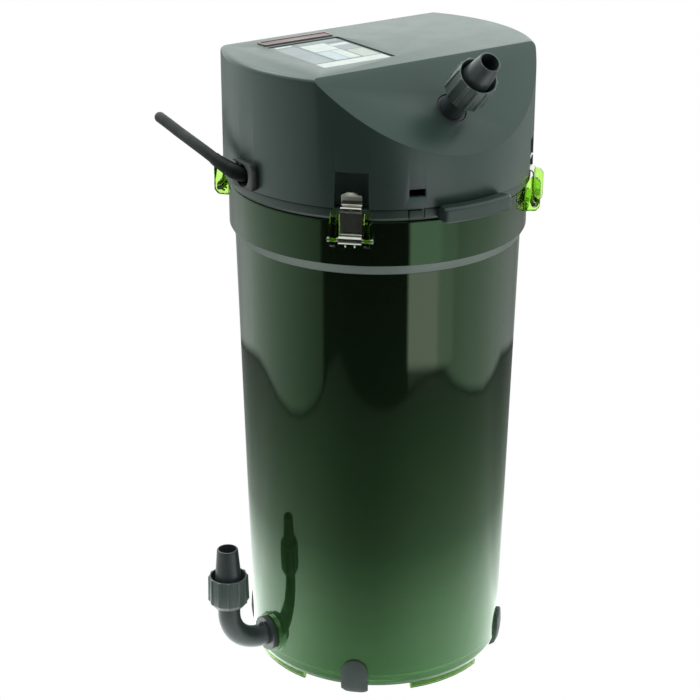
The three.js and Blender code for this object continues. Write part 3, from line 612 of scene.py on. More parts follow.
# skirt arcs under the edge
for a in (0, 90, 180, 270):
    n, half = 20, 19
    sec = rounded([(65.5, 1.6, 0.4), (67.4, 1.6, 0.6), (67.9, 6.6), (64.2, 6.4)], True, 3)
    verts, rows = [], []
    for i in range(n + 1):
        q = a - half + 2 * half * i / n
        rows.append(list(range(len(verts), len(verts) + len(sec))))
        verts += [rad(q) * r + Vector((0, 0, z)) for r, z in sec]
    faces = [tuple(rows[0])[::-1], tuple(rows[-1])]
    k = len(sec)
    for p0, p1 in zip(rows, rows[1:]):
        faces += [(p0[j], p0[(j + 1) % k], p1[(j + 1) % k], p1[j]) for j in range(k)]
    parts.append(mesh_object("skirt", verts, faces))
# boss for the elbow, with a filleted root
boss = lathe("boss", rounded([(0, 62.8), (12.2, 62.8), (12.2, 68.2), (10.9, 69.6, 1.5), (10.6, 71.6, 0.5), (0, 71.6)], n=4), 64)
place(boss, axis_matrix((0, 0, INTAKE_Z), (-1, 0, 0)))
parts.append(boss)
for q in parts:
    boolean(body, q, "UNION")
cuts = [("bore", 6.3, 55, 80), ("spot", 15, 50, 63.6)]
for nm, r, x0, x1 in cuts:
    c = lathe(nm, [(0, x0), (r, x0), (r, x1), (0, x1)], 64)
    boolean(body, place(c, axis_matrix((0, 0, INTAKE_Z), (-1, 0, 0))))
for a in CLIPS.values():
    c = lathe("pin_hole", [(0, -12), (1.15, -12), (1.15, 12), (0, 12)], 20)
    boolean(body, place(c, axis_matrix(rad(a) * PIN_R + Vector((0, 0, PIN_Z)), tan(a))))
tidy(body, 32)
give(body, SMOKE, STEP_HIGHLIGHT, LIME)
for f in body.data.polygons:
    c = f.center / MM
    r = math.hypot(c.x, c.y)
    # the step below the collar takes the pale material, a painted highlight
    if 244.1 < c.z < 249.2 and r > 74:
        f.material_index = 1
    elif (256 < c.z < 278 and r > 77.7) or (c.z < 6.0 and r > 65.3 and (c.z < 4.4 or r > 67.9)):
        f.material_index = 2
piece(body, "canister", "canister", slot="canister_plastic")

# rubber feet: pads that wrap round the lower edge, with an arched top
foot_line = [(59.6, 4.2, 0.6, 5.6), (60.4, 4.2, 0.0, 5.8), (63.5, 4.2, 0.0, 6.0), (66.4, 4.25, 0.0, 6.4), (68.3, 4.9, 0.9, 7.0),
             (69.8, 6.2, 3.0, 7.4), (70.8, 8.0, 5.4, 7.4), (71.3, 10.0, 8.6, 7.4), (71.6, 12.5, 12.2, 7.4), (71.5, 15.2, 15.2, 7.1),
             (71.4, 17.6, 17.6, 6.2), (71.3, 19.4, 19.4, 4.9), (71.0, 20.6, 20.6, 3.1), (70.8, 21.2, 21.2, 1.3)]
for name, a in CLIPS.items():
    verts, m = [], 12
    outer, inner = [], []
    for i, (ro, zi, zo, w) in enumerate(foot_line):
        if i < 3:
            ri, z_in = ro, 4.2
        elif i == 3:
            ri, z_in = 66.2, 4.35
        elif i == 4:
            ri, z_in = 68.1, 5.6
        else:
            z_in = max(zo, 8.2)
            ri = wall_r(z_in) + 0.06
        ro_row, ri_row = [], []
        for j in range(m + 1):
            u = -1 + 2 * j / m
            drop = 0.75 * abs(u) ** 5
            rr = ro - drop if i >= 4 else ro
            zz = zo + (drop if i < 5 else 0)
            rr = max(rr, ri + 0.2) if i >= 5 else rr
            ang = a + math.degrees(w * u / ro)
            ro_row.append(len(verts))
            verts.append(rad(ang) * rr + Vector((0, 0, zz)))
        for j in range(m + 1):
            u = -1 + 2 * j / m
            ang = a + math.degrees(w * u / ro)
            ri_row.append(len(verts))
            verts.append(rad(ang) * ri + Vector((0, 0, z_in)))
        outer.append(ro_row)
        inner.append(ri_row)
    faces = []
    for i in range(len(outer) - 1):
        for j in range(m):
            faces.append((outer[i][j], outer[i][j + 1], outer[i + 1][j + 1], outer[i + 1][j]))
            faces.append((inner[i][j + 1], inner[i][j], inner[i + 1][j], inner[i + 1][j + 1]))
        faces.append((outer[i][0], outer[i + 1][0], inner[i + 1][0], inner[i][0]))
        faces.append((outer[i + 1][m], outer[i][m], inner[i][m], inner[i + 1][m]))
    for j in range(m):
        faces.append((outer[0][j + 1], outer[0][j], inner[0][j], inner[0][j + 1]))
        faces.append((outer[-1][j], outer[-1][j + 1], inner[-1][j + 1], inner[-1][j]))
    foot = mesh_object(f"rubber_foot_{name}", verts, faces, 50)
    piece(foot, "canister", f"foot_{name}", slot="foot_rubber", mats=(RUBBER,))

# ---------------------------------------------------------------- intake elbow and the clamping nuts
path = [(-56.0, 0, INTAKE_Z), (-66, 0, INTAKE_Z), (-72.4, 0, INTAKE_Z), (-72.41, 0, INTAKE_Z), (-74.6, 0, INTAKE_Z), (-75.0, 0, INTAKE_Z), (-75.01, 0, INTAKE_Z)]
rads = [6, 6, 6, 9.3, 9.6, 9.2, 6.2]
for i in range(0, 17):
    t = math.pi / 2 * i / 16
    path.append((SPIGOT_X + ELBOW_BEND - ELBOW_BEND * math.sin(t), 0, INTAKE_Z + ELBOW_BEND - ELBOW_BEND * math.cos(t)))
    rads.append(6.15 - 0.15 * ease(i, 0, 3))
for z, r in ((46, 6), (50.0, 6), (50.2, 7.1), (50.5, 7.4), (60.6, 7.4), (61.2, 7.35), (66, 6.95), (72, 6.45), (80.6, 5.72), (81.7, 5.6), (82.1, 5.35), (82.2, 5.0)):
    path.append((SPIGOT_X, 0, z))
    rads.append(r)
elbow = sweep("elbow_tube", path, rads, 48, inner=[TUBE_BORE + 0.2] * (len(path) - 1) + [4.75], smooth=32)
# parting-line pips of the moulding; only the first is kept on the elbow, the second is removed again
pips = []
for c, d, r, h in (((-77, 0, INTAKE_Z + 5.8), (0, 0, 1), 1.3, 2.0), ((-91.2, 0, 28.6), (-0.7, 0, -0.7), 1.2, 7.2)):
    q = lathe("pip", rounded([(0, -1), (r, -1), (r * 0.8, h - 0.1, 0.4), (0, h)], n=3), 16)
    pips.append(place(q, axis_matrix(c, d)))
elbow = join("intake_elbow_tube", [elbow, pips[0]], 32)
mesh_old = pips[1].data
bpy.data.objects.remove(pips[1])
bpy.data.meshes.remove(mesh_old)
piece(elbow, "canister", "intake_elbow", slot="fitting_plastic", mats=(ELBOW,))


def clamp_nut(name):
    """Twelve flats with a raised bead at each corner, a bevelled foot and a thin open rim."""
    ring_pts = []
    for i in range(12):
        a0 = 30.0 * i
        for da, r in ((-5.4, 10.42), (-4.2, 10.62), (-2.6, 10.95), (0, 11.02), (2.6, 10.95), (4.2, 10.62), (5.4, 10.42), (10, 10.33), (15, 10.31), (20, 10.33)):
            ring_pts.append((a0 + da, r))
    k = len(ring_pts)
    prof = [(0.0, 8.3 / 10.9, 1.0), (0.35, 8.75 / 10.9, 1.0), (1.7, 9.75 / 10.9, 0.8), (2.9, 10.65 / 10.9, 0.3), (3.4, 10.9 / 10.9, 0.0),
            (10, 10.75 / 10.9, 0.0), (17.0, 10.6 / 10.9, 0.0), (17.6, 10.5 / 10.9, 0.15), (17.8, 10.2 / 10.9, 0.4)]
    verts, rows = [], []
    for z, f, flat in prof:
        rows.append(list(range(len(verts), len(verts) + k)))
        for a, r in ring_pts:
            rr = (r * (1 - flat) + 10.55 * flat) * f
            verts.append((rr * math.cos(math.radians(a)), rr * math.sin(math.radians(a)), z))
    for z, r in ((17.8, 9.45), (17.6, 9.28), (6.6, 9.22), (6.2, 9.0), (6.2, 7.95), (0.3, 7.95), (0.0, 8.15)):
        rows.append(list(range(len(verts), len(verts) + k)))
        for a, _ in ring_pts:
            verts.append((r * math.cos(math.radians(a)), r * math.sin(math.radians(a)), z))
    faces = []
    for p0, p1 in list(zip(rows, rows[1:])) + [(rows[-1], rows[0])]:
        faces += [(p0[j], p0[(j + 1) % k], p1[(j + 1) % k], p1[j]) for j in range(k)]
    return mesh_object(name, verts, faces, 28)


n1 = clamp_nut("intake_clamp_nut")
n1.data.transform(Matrix.Translation((SPIGOT_X * MM, 0, 48.6 * MM)))
piece(n1, "intake_nut", "intake_nut", slot="fitting_plastic", mats=(FITTING,))
n2 = clamp_nut("outlet_clamp_nut")
place(n2, axis_matrix(out_pt(10.6), OUT))
piece(n2, "outlet_nut", "outlet_nut", slot="fitting_plastic", mats=(FITTING,))

# outlet spigot
path = smooth_line([(0, -34, 278.8), (0, -34, 284), (0, -34.15, 289), (0, -35.4, 293.6), (0, -38.4, 298.3), (0, -41.6, 301.7), (0, -46, 306.1), tuple(out_pt(-14))], 2.0)
rads = [6.0] * len(path)
for t, r in ((-7.6, 6), (-7.59, 9.6), (-4.0, 9.6), (-3.99, 6.1), (11.9, 6.1), (12, 7.3), (12.4, 7.6), (25.6, 7.6), (26.2, 7.55), (31, 6.9), (36, 6.2), (39.2, 5.72), (39.8, 5.6), (40.1, 5.3), (40.2, 5.0)):
    path.append(out_pt(t))
    rads.append(r)
spout = sweep("outlet_tube", path, rads, 48, inner=[TUBE_BORE + 0.2] * (len(path) - 1) + [4.8], smooth=32)
piece(spout, "pump_head", "outlet_spigot", slot="fitting_plastic", mats=(ELBOW,))

# ---------------------------------------------------------------- head shell
def half_space(name, n, d0):
    """A big block on the inner side of the plane n.p = d0, to cut away."""
    ob = box(name, -300, 300, -300, 300, 0, 600)
    n = Vector(n)
    return place(ob, axis_matrix(n * d0, n))


CUT_D = (CUT_Y + HEAD_TOP) * S
shell = lathe("head_cover", rounded([(0, HEAD_BOTTOM), (HEAD_R, HEAD_BOTTOM), (HEAD_R, HEAD_TOP, 3.0), (0, HEAD_TOP)], n=5), 160)
boolean(shell, half_space("c1", (0, -S, S), CUT_D))
boolean(shell, half_space("c2", (0, S, S), CUT_D))
for a in CLIPS.values():
    c = box("recess", -8.5, 8.5, -95, -74.6, HEAD_BOTTOM - 3, 297.2)
    boolean(shell, place(c, Matrix.Rotation(math.radians(a), 4, "Z")))
for a in (-22, 98, -142):
    c = box("window", -4, 4, -95, -76.4, 284.9, 288.7)
    boolean(shell, place(c, Matrix.Rotation(math.radians(a), 4, "Z")))
c = lathe("port", [(0, -12), (8.0, -12), (8.0, 12), (0, 12)], 48)
boolean(shell, place(c, axis_matrix(out_pt(0), OUT)))
c = lathe("cord_hole", [(0, 60), (6, 60), (6, 95), (0, 95)], 40)
boolean(shell, place(c, axis_matrix((0, 0, GZ), (-1, 0, 0))))
boolean(shell, extrude("label_recess", rounded([(-52, -27, 0.8), (-9, -27, 0.8), (-9, 23.5, 0.8), (-52, 23.5, 0.8)], True, 3), HEAD_TOP - 0.9, HEAD_TOP + 3, (1, 0, 0), (0, 1, 0), (0, 0, 1)))
bevel(shell, 0.55, 3, angle=28, smooth=40)
# hollow inside, with the walls of the clip recesses kept
core = lathe("core", [(0, HEAD_BOTTOM - 5), (77, HEAD_BOTTOM - 5), (77, HEAD_TOP - 3), (0, HEAD_TOP - 3)], 96)
boolean(core, half_space("c3", (0, -S, S), CUT_D - 3))
boolean(core, half_space("c4", (0, S, S), CUT_D - 3))
for a in CLIPS.values():
    c = box("pocket", -10.5, 10.5, -90, -72.2, HEAD_BOTTOM - 8, 299.6)
    boolean(core, place(c, Matrix.Rotation(math.radians(a), 4, "Z")))
boolean(shell, core)
tidy(shell, 40, 3e-5, 2e-5)
piece(shell, "pump_head", "head_shell", slot="head_plastic", mats=(HEAD,))

# ---------------------------------------------------------------- head base: flange, skirt, deck, rotor well
base_prof = rounded([
    (0, 320.5), (15.4, 320.5, 1), (15.4, FLANGE_TOP), (FLANGE_R, FLANGE_TOP, 0.5), (FLANGE_R, 274.2, 0.6), (77.6, FLANGE_BOTTOM, 0.4),
    (76.3, FLANGE_BOTTOM), (76.3, 275), (73.3, 275), (73.3, FLANGE_BOTTOM, 0.3), (71.2, FLANGE_BOTTOM, 0.3), (70.6, 258, 0.6), (68.2, 258, 0.6), (68.2, 275.2, 1),
    (26.5, 275.2, 0.8), (26.5, 262, 0.5), (23.6, 262, 0.4), (23.6, 275.2, 0.6), (12.8, 275.2, 0.4), (12.8, 317.6, 1), (0, 317.6)], n=3)
base = lathe("head_base_ring", base_prof, 144)


def arc_block(name, sec, a, half, n=28, end_round=0.0):
    """A section of (r, z) carried round the axis, with softened ends."""
    verts, rows = [], []
    cr = sum(p[0] for p in sec) / len(sec)
    cz = sum(p[1] for p in sec) / len(sec)
    steps = [(-half, 1 - end_round), (-half + 0.35, 1 - end_round * 0.45), (-half + 1.0, 1)] if end_round else [(-half, 1)]
    lo = steps[-1][0]
    mid = [(lo + (-2 * lo) * i / n, 1) for i in range(1, n)]
    allq = steps + mid + [(-q, k) for q, k in reversed(steps)]
    for q, k in allq:
        rows.append(list(range(len(verts), len(verts) + len(sec))))
        verts += [rad(a + q) * (cr + (r - cr) * k) + Vector((0, 0, cz + (z - cz) * k)) for r, z in sec]
    faces = [tuple(rows[0])[::-1], tuple(rows[-1])]
    m = len(sec)
    for p0, p1 in zip(rows, rows[1:]):
        faces += [(p0[j], p0[(j + 1) % m], p1[(j + 1) % m], p1[j]) for j in range(m)]
    return mesh_object(name, verts, faces, 40)


lug_sec = rounded([(77.0, 273.0), (78.2, 272.3, 0.5), (87.0, 272.3, 0.8), (88.0, 273.4, 1.2), (88.0, 279.0, 1.2), (86.8, 280.2, 1.0), (81.4, 280.2, 0.6), (80.5, 279.2, 0.5), (80.4, 278.2), (77.0, 278.2)], True, 3)
boolean(base, arc_block("grip", lug_sec, -0.6, 13.4, 30, 0.12), "UNION")
for a in (-22, 98, -142):
    # a snap hook with a slot round it
    slot = arc_block("slot", [(78.3, 273.0), (80.5, 273.0), (80.5, 279.5), (78.3, 279.5)], a, 3.1, 4)
    boolean(base, slot)
    hook = arc_block("hook", rounded([(77.6, 273.9), (79.5, 273.9, 0.4), (79.9, 274.6, 0.3), (79.5, 277.9, 0.4), (77.6, 277.9)], True, 2), a - 0.35, 2.3, 4)
    boolean(base, hook, "UNION")
duct = lathe("duct", [(0, 264.5), (7.4, 264.5), (7.4, 275.8), (0, 275.8)], 40)
duct.data.transform(Matrix.Translation((0, -0.034, 0)))
boolean(base, duct, "UNION")
boolean(base, box("duct_neck", -7.4, 7.4, -34, -25.2, 264.5, 275.8), "UNION")
c = lathe("duct_bore", [(0, 267), (4.8, 267), (4.8, 290), (0, 290)], 32)
c.data.transform(Matrix.Translation((0, -0.034, 0)))
boolean(base, c)
boolean(base, box("duct_way", -4.8, 4.8, -34, -20, 267, 272.6))
for x, y in ((56.4, 20.5), (-56.4, 20.5), (56.4, -20.5), (-56.4, -20.5)):
    c = lathe("screw_hole", [(0, 268), (1.9, 268), (1.9, 290), (0, 290)], 20)
    c.data.transform(Matrix.Translation((x * MM, y * MM, 0)))
    boolean(base, c)
tidy(base, 35)
piece(base, "pump_head", "head_base", slot="head_plastic", mats=(BASE,))

# ---------------------------------------------------------------- clips
def offset_line(line, th):
    left, right = [], []
    for i, p in enumerate(line):
        a, b = Vector(line[max(0, i - 1)]), Vector(line[min(len(line) - 1, i + 1)])
        d = (b - a).normalized()
        n = Vector((-d.y, d.x))
        left.append(Vector(p) + n * th / 2)
        right.append(Vector(p) - n * th / 2)
    return left, right


def clip_mesh(name, a):
    th = 0.9
    line = rounded([(82.6, 266.3), (81.9, 266.6, 0.6), (81.25, 268.0, 1.2), (81.15, 272), (81.2, 277.2, 1.5), (80.9, 279.5, 1.1), (79.4, 280.1, 0.9),
                    (78.0, 280.4, 1.2), (77.75, 282.6, 3), (78.3, 285.2, 4), (79.5, 287.6)], n=5)
    line = [tuple(p) for p in line]
    left, right = offset_line(line, th)
    cum = [0.0]
    for p, q in zip(line, line[1:]):
        cum.append(cum[-1] + math.hypot(q[0] - p[0], q[1] - p[1]))
    total = cum[-1]
    m = 14
    verts, rl, rr = [], [], []
    for i in range(len(line)):
        s_top = total - cum[i]
        w = 5.7
        if line[i][1] > 279.2:
            w = 5.15
        if s_top < 3.2:      # domed end
            w = 5.15 * math.sqrt(max(0.02, 1 - ((3.2 - s_top) / 3.35) ** 2.2))
        for rows, side in ((rl, left), (rr, right)):
            rows.append(list(range(len(verts), len(verts) + m + 1)))
            for j in range(m + 1):
                u = -1 + 2 * j / m
                edge = 0.16 * abs(u) ** 8
                p = side[i] + (Vector(line[i]) - side[i]) * edge * 2
                crown = 0.28 * (1 - u * u) if s_top < 6.5 else 0.0
                verts.append(rad(a) * (p.x + crown) + Vector((0, 0, p.y)) + tan(a) * (w * u))
    faces = []
    for i in range(len(line) - 1):
        for j in range(m):
            faces.append((rl[i][j], rl[i][j + 1], rl[i + 1][j + 1], rl[i + 1][j]))
            faces.append((rr[i][j + 1], rr[i][j], rr[i + 1][j], rr[i + 1][j + 1]))
        faces.append((rl[i][0], rl[i + 1][0], rr[i + 1][0], rr[i][0]))
        faces.append((rl[i + 1][m], rl[i][m], rr[i][m], rr[i + 1][m]))
    for j in range(m):
        faces.append((rl[0][j + 1], rl[0][j], rr[0][j], rr[0][j + 1]))
        faces.append((rl[-1][j], rl[-1][j + 1], rr[-1][j + 1], rr[-1][j]))
    strap = mesh_object(name + "_strap", verts, faces, 40)
    # rolled eye round the pin: an open curl that starts from the strap
    eye, ang = [], []
    for i in range(25):
        t = math.radians(100 - 310 * i / 24)
        eye.append((PIN_R + 1.85 * math.cos(t), PIN_Z + 1.85 * math.sin(t)))
    le, re = offset_line(eye, th)
    outline = [tuple(p) for p in le] + [tuple(p) for p in reversed(re)]
    obs = [strap]
    for t0, t1 in ((-5.7, 5.7),):
        obs.append(extrude(name + "_eye", outline, t0, t1, rad(a), (0, 0, 1), tan(a), smooth=40))
    # two fingers that hang below the eye
    for t in (-2.3, 2.3):
        ln = [rad(a) * (PIN_R + r) + Vector((0, 0, PIN_Z + z)) + tan(a) * t for r, z in ((1.3, -1.6), (1.1, -2.5), (0.5, -3.3), (-0.3, -3.7), (-1.0, -3.8))]
        obs.append(sweep(name + "_finger", smooth_line(ln, 0.7), [0.5] * len(smooth_line(ln, 0.7)), seg=12))
    return join(name, obs, 40)


for name, a in CLIPS.items():
    clip = clip_mesh(f"steel_clip_{name}", a)
    piece(clip, f"clip_{name}", f"clip_{name}", slot="clip_steel", mats=(STEEL,))
    c = rad(a) * PIN_R + Vector((0, 0, PIN_Z))
    ln = [c + tan(a) * t for t in (-11.4, -11.25, -10.3, -10.2, 10.2, 10.3, 11.25, 11.4)]
    pin = sweep(f"hinge_pin_{name}", ln, [1.15, 1.35, 1.35, 0.98, 0.98, 1.35, 1.35, 1.15], seg=20)
    piece(pin, "canister", f"clip_pin_{name}", slot="pin_steel", mats=(PIN,))

# ---------------------------------------------------------------- gland and strain relief
fr = rounded([(-9.4, -6.9, 3), (9.4, -6.9, 3), (9.4, 6.9, 3), (-9.4, 6.9, 3)], True, 6)
gland = extrude("gland_frame", fr, -83, -79.6, (0, 1, 0), (0, 0, 1), (1, 0, 0), (0, 0, GZ), smooth=40)
neck = lathe("gland_neck", [(0, 74), (5.6, 74), (5.6, 80.6), (0, 80.6)], 40)
boolean(gland, place(neck, axis_matrix((0, 0, GZ), (-1, 0, 0))), "UNION")
dish = lathe("gland_dish", rounded([(0, 60), (4.7, 60), (4.7, 80.6, 0.5), (6.2, 83.4), (0, 83.4)], n=3), 40)
boolean(gland, place(dish, axis_matrix((0, 0, GZ), (-1, 0, 0))))
REL = [(-73, 0, GZ), (-78.4, 0.1, GZ), (-81.5, 1.2, GZ + 0.2), (-83.5, 3.9, GZ + 0.8), (-84.5, 7.5, 287.8), (-85.3, 12.5, 288.8), (-85.5, 18, 289.6), (-85.25, 21.8, 290.05)]
notch_line = smooth_line(REL, 1.5)
boolean(gland, sweep("notch", notch_line, [4.9] * len(notch_line), seg=32))
bevel(gland, 0.4, 2, angle=32)
piece(gland, "pump_head", "cable_gland", slot="black_plastic", mats=(BLACK,))
# moulded sleeve that leaves the bore, turns along the head and thins to the cord, with shallow ribs
rel = smooth_line(REL, 0.5)
rr = []
for i in range(len(rel)):
    x = i / (len(rel) - 1)
    r = 4.1 - 0.85 * ease(x, 0.3, 1.0)
    if 0.5 < x < 0.96 and i % 4 in (2, 3):
        r -= 0.06
    rr.append(r if i < len(rel) - 1 else 3.08)
relief = sweep("bend_relief", rel, rr, seg=32, smooth=50)
piece(relief, "pump_head", "strain_relief", slot="cord_sheath", mats=(SHEATH,))

# ---------------------------------------------------------------- label and badge bar
def panel(name, x0, x1, y0, y1, z0, z1, r=0.5, mat=LABEL, bev=0.06):
    o = extrude(name, rounded([(x0, y0, r), (x1, y0, r), (x1, y1, r), (x0, y1, r)], True, 3), z0, z1, (1, 0, 0), (0, 1, 0), (0, 0, 1))
    bevel(o, bev, 1)
    give(o, mat)
    return o


top = HEAD_TOP - 0.4
plate = panel("label_plate", -51.4, -10.6, -26.4, 22.9, HEAD_TOP - 0.9, top, 0.6)
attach(plate, "pump_head")
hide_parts("rating_plate")
blocks = [("a", -37.1, -22.3, 2.3, 16.8, LABEL_W), ("b", -21.9, -11.6, 8.6, 13.2, LABEL_W), ("c", -21.9, -11.6, -1.0, 8.1, LABEL_D),
          ("d", -37.1, -29.3, -16.4, 1.5, LABEL_B), ("e", -28.9, -22.4, -16.4, 1.5, LABEL_W), ("f", -21.4, -11.6, -17.3, -1.6, LABEL_C),
          ("g", -50.6, -11.2, -26.0, -18.2, LABEL_W), ("h", -49.0, -39.2, 19.4, 21.8, LABEL_W), ("i", -36.5, -12.4, 17.9, 21.6, LABEL_D),
          ("j", -50.4, -39.0, -17.2, 17.6, LABEL_D)]
for nm, x0, x1, y0, y1, mt in blocks:
    o = panel(f"label_block_{nm}", x0, x1, y0, y1, top - 0.02, top + 0.05, 0.3, mt, 0.02)
    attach(o, "pump_head")
bar = extrude("badge_strip", rounded([(-51.4, 26.2, 1.4), (-9.6, 26.2, 1.4), (-9.6, 34.4, 1.4), (-51.4, 34.4, 1.4)], True, 4), HEAD_TOP - 0.3, HEAD_TOP + 0.7, (1, 0, 0), (0, 1, 0), (0, 0, 1))
groove = extrude("badge_groove", rounded([(-50.2, 27.4, 0.9), (-10.8, 27.4, 0.9), (-10.8, 33.2, 0.9), (-50.2, 33.2, 0.9)], True, 4), HEAD_TOP + 0.35, HEAD_TOP + 2, (1, 0, 0), (0, 1, 0), (0, 0, 1))
boolean(bar, groove)
bevel(bar, 0.14, 2)
piece(bar, "pump_head", "badge_bar", slot="badge", mats=(BADGE,))

# ---------------------------------------------------------------- CAD pieces that stay as they are
KEEP = {
    "intake_seal": SEAL, "intake_lock_nut": FITTING, "bottom_grid": BLACK, "coarse_pad": FOAM, "carbon_pad": FELT, "top_grid": BLACK,
    "head_o_ring": SEAL, "stator_core": IRON, "motor_coil": COPPER, "impeller_cover": BLACK, "bush_lower": SEAL, "bush_upper": SEAL,
    "shaft": CERAMIC, "outlet_seal": SEAL, "head_screw_a": PIN, "head_screw_b": PIN, "head_screw_c": PIN, "head_screw_d": PIN,
    "impeller": BLACK, "magnet_rotor": FERRITE,
}
for n, m in KEEP.items():
    o = NODES[n]
    if not o.material_slots:
        o.data.materials.append(None)
    for s in o.material_slots:
        s.material = m

# ---------------------------------------------------------------- floor, cards, light
def emission(name, colour, strength):
    m = bpy.data.materials.new(name)
    m.use_nodes = True
    nt = m.node_tree
    nt.nodes.clear()
    o = nt.nodes.new("ShaderNodeOutputMaterial")
    e = nt.nodes.new("ShaderNodeEmission")
    e.inputs["Color"].default_value = tuple(colour) + (1,)
    e.inputs["Strength"].default_value = strength
    nt.links.new(e.outputs[0], o.inputs[0])
    return m


def stage_fan(name, centre, a0, a1, r0, r1, z, mat, n=48, axis=TO_CAM):
    """A flat ring sector on the floor; angles are measured from the camera's side, to its right."""
    verts, faces = [], []
    side = CAM_RIGHT
    for i in range(n + 1):
        q = math.radians(a0 + (a1 - a0) * i / n)
        d = axis * math.cos(q) + side * math.sin(q)
        for r in (r0, r1):
            verts.append(Vector(centre) + d * r + Vector((0, 0, z)))
    for i in range(n):
        faces.append((2 * i, 2 * i + 1, 2 * i + 3, 2 * i + 2))
    ob = mesh_object(name, verts, faces, scale=1.0)
    give(ob, mat)
    return ob


floor_mat = bpy.data.materials.new("pale_floor")
floor_mat.use_nodes = True
fnt = floor_mat.node_tree
fp = fnt.nodes["Principled BSDF"]
fp.inputs["Base Color"].default_value = (0.80, 0.81, 0.80, 1)
fp.inputs["Roughness"].default_value = 0.7
fp.inputs["Emission Color"].default_value = (1, 1, 1, 1)
fp.inputs["Emission Strength"].default_value = 0.25
# the picture of the floor itself is the white of the backdrop
f_white = fnt.nodes.new("ShaderNodeEmission")
f_lp = fnt.nodes.new("ShaderNodeLightPath")
f_mix = fnt.nodes.new("ShaderNodeMixShader")
f_out = fnt.nodes["Material Output"]
fnt.links.new(f_lp.outputs["Is Camera Ray"], f_mix.inputs[0])
fnt.links.new(fp.outputs[0], f_mix.inputs[1])
fnt.links.new(f_white.outputs[0], f_mix.inputs[2])
fnt.links.new(f_mix.outputs[0], f_out.inputs[0])
floor = mesh_object("floor", [(-6, -6, 0), (6, -6, 0), (6, 6, 0), (-6, 6, 0)], [(0, 1, 2, 3)], scale=1.0)
floor.location.z = -0.0002
give(floor, floor_mat)


def only(ob, **rays):
    for k in ("camera", "diffuse", "glossy", "transmission", "volume_scatter", "shadow"):
        setattr(ob, "visible_" + k, rays.get(k, False))


# a dark cloth in front of the object takes away the light that the floor would throw up at it
cloth = stage_fan("dark_cloth", (0, 0, 0), -58, 38, 0.125, 5.0, 0.0004, emission("dark_cloth", (0.020, 0.024, 0.022), 1.0))
only(cloth, diffuse=True)


# what glossy surfaces see on the floor: a bright table near the object, the dark room past its edge, and bright panels beside it
def ramp_node(nt, value, lo, hi, stops, gain):
    mr = nt.nodes.new("ShaderNodeMapRange")
    mr.inputs["From Min"].default_value, mr.inputs["From Max"].default_value = lo, hi
    nt.links.new(value, mr.inputs["Value"])
    r = nt.nodes.new("ShaderNodeValToRGB")
    el = r.color_ramp.elements
    while len(el) < len(stops):
        el.new(0.5)
    for e, (x, v) in zip(el, stops):
        e.position = (x - lo) / (hi - lo)
        e.color = (v / gain,) * 3 + (1,)
    nt.links.new(mr.outputs[0], r.inputs["Fac"])
    return r.outputs["Color"]


def calc(nt, op, a, b):
    m = nt.nodes.new("ShaderNodeMath")
    m.operation = op
    for i, v in enumerate((a, b)):
        if isinstance(v, (int, float)):
            m.inputs[i].default_value = v
        else:
            nt.links.new(v, m.inputs[i])
    return m.outputs[0]


def along(nt, vector, axis):
    d = nt.nodes.new("ShaderNodeVectorMath")
    d.operation = "DOT_PRODUCT"
    d.inputs[1].default_value = tuple(axis)
    nt.links.new(vector, d.inputs[0])
    return d.outputs["Value"]


NEAR = [(0.0, 1.38), (0.115, 1.28), (0.152, 1.07), (0.18, 0.77), (0.214, 0.46), (0.276, 0.32), (0.337, 0.25), (0.40, 0.21), (0.46, 0.18),
        (0.60, 0.10), (0.80, 0.09)]
SIDE = [(-180, 1.0), (-130, 1.2), (-112, 1.7), (-103, 2.1), (-75, 2.3), (-51, 2.1), (-30, 1.35), (-20, 1.06), (-10, 1.0), (0, 1.0), (15, 1.35), (30, 1.8),
        (51, 2.0), (75, 2.05), (103, 1.8), (112, 1.2), (125, 0.9), (180, 0.8)]
FAR = [(-180, 0.35), (-150, 0.42), (-121, 1.3), (-100, 1.35), (-88, 1.25), (-76, 1.15), (-63, 0.95), (-43.5, 0.56), (-41.5, 0.05), (0, 0.03), (22, 0.03),
       (24, 0.4), (50, 0.8), (60, 1.25), (75, 1.35), (88, 1.3), (103, 1.25), (125, 0.8), (146, 0.35), (180, 0.35)]
# how far the border of the dark room moves out from the middle of each panel
BORDER = [(-180, 0.05), (-120, 0.05), (-110, 0.045), (-100, 0.03), (-85, -0.006), (-72, -0.023), (-60, -0.02), (-50, -0.003), (-43, 0.025), (-38, 0.06),
          (-30, 0.075), (-25, 0.058), (-17, 0.032), (-8, 0.014), (6, 0.004), (18, 0.014), (30, 0.038), (42, 0.05), (52, 0.05), (62, 0.03), (77, 0.012),
          (93, 0.005), (105, 0.02), (120, 0.05), (146, 0.05), (180, 0.05)]
WARM = [(-180, 0), (19.5, 0), (23, 1), (45, 0.9), (48.5, 0.35), (66, 0.1), (75, 0), (180, 0)]
STRIP = [(-180, 0), (21.8, 0), (23.4, 2.25), (43, 2.2), (45.5, 2.1), (48, 1.75), (58, 1.6), (66, 0.8), (70, 0), (180, 0)]
mirror_mat = bpy.data.materials.new("mirrored_floor")
mirror_mat.use_nodes = True
mt = mirror_mat.node_tree
mt.nodes.clear()
m_out = mt.nodes.new("ShaderNodeOutputMaterial")
m_em = mt.nodes.new("ShaderNodeEmission")
m_em.inputs["Color"].default_value = (0.93, 1.0, 0.965, 1)
mt.links.new(m_em.outputs[0], m_out.inputs[0])
m_tc = mt.nodes.new("ShaderNodeTexCoord")
m_len = mt.nodes.new("ShaderNodeVectorMath")
m_len.operation = "LENGTH"
mt.links.new(m_tc.outputs["Object"], m_len.inputs[0])
m_r = m_len.outputs["Value"]
m_phi = calc(mt, "ARCTAN2", along(mt, m_tc.outputs["Object"], CAM_RIGHT), along(mt, m_tc.outputs["Object"], TO_CAM))
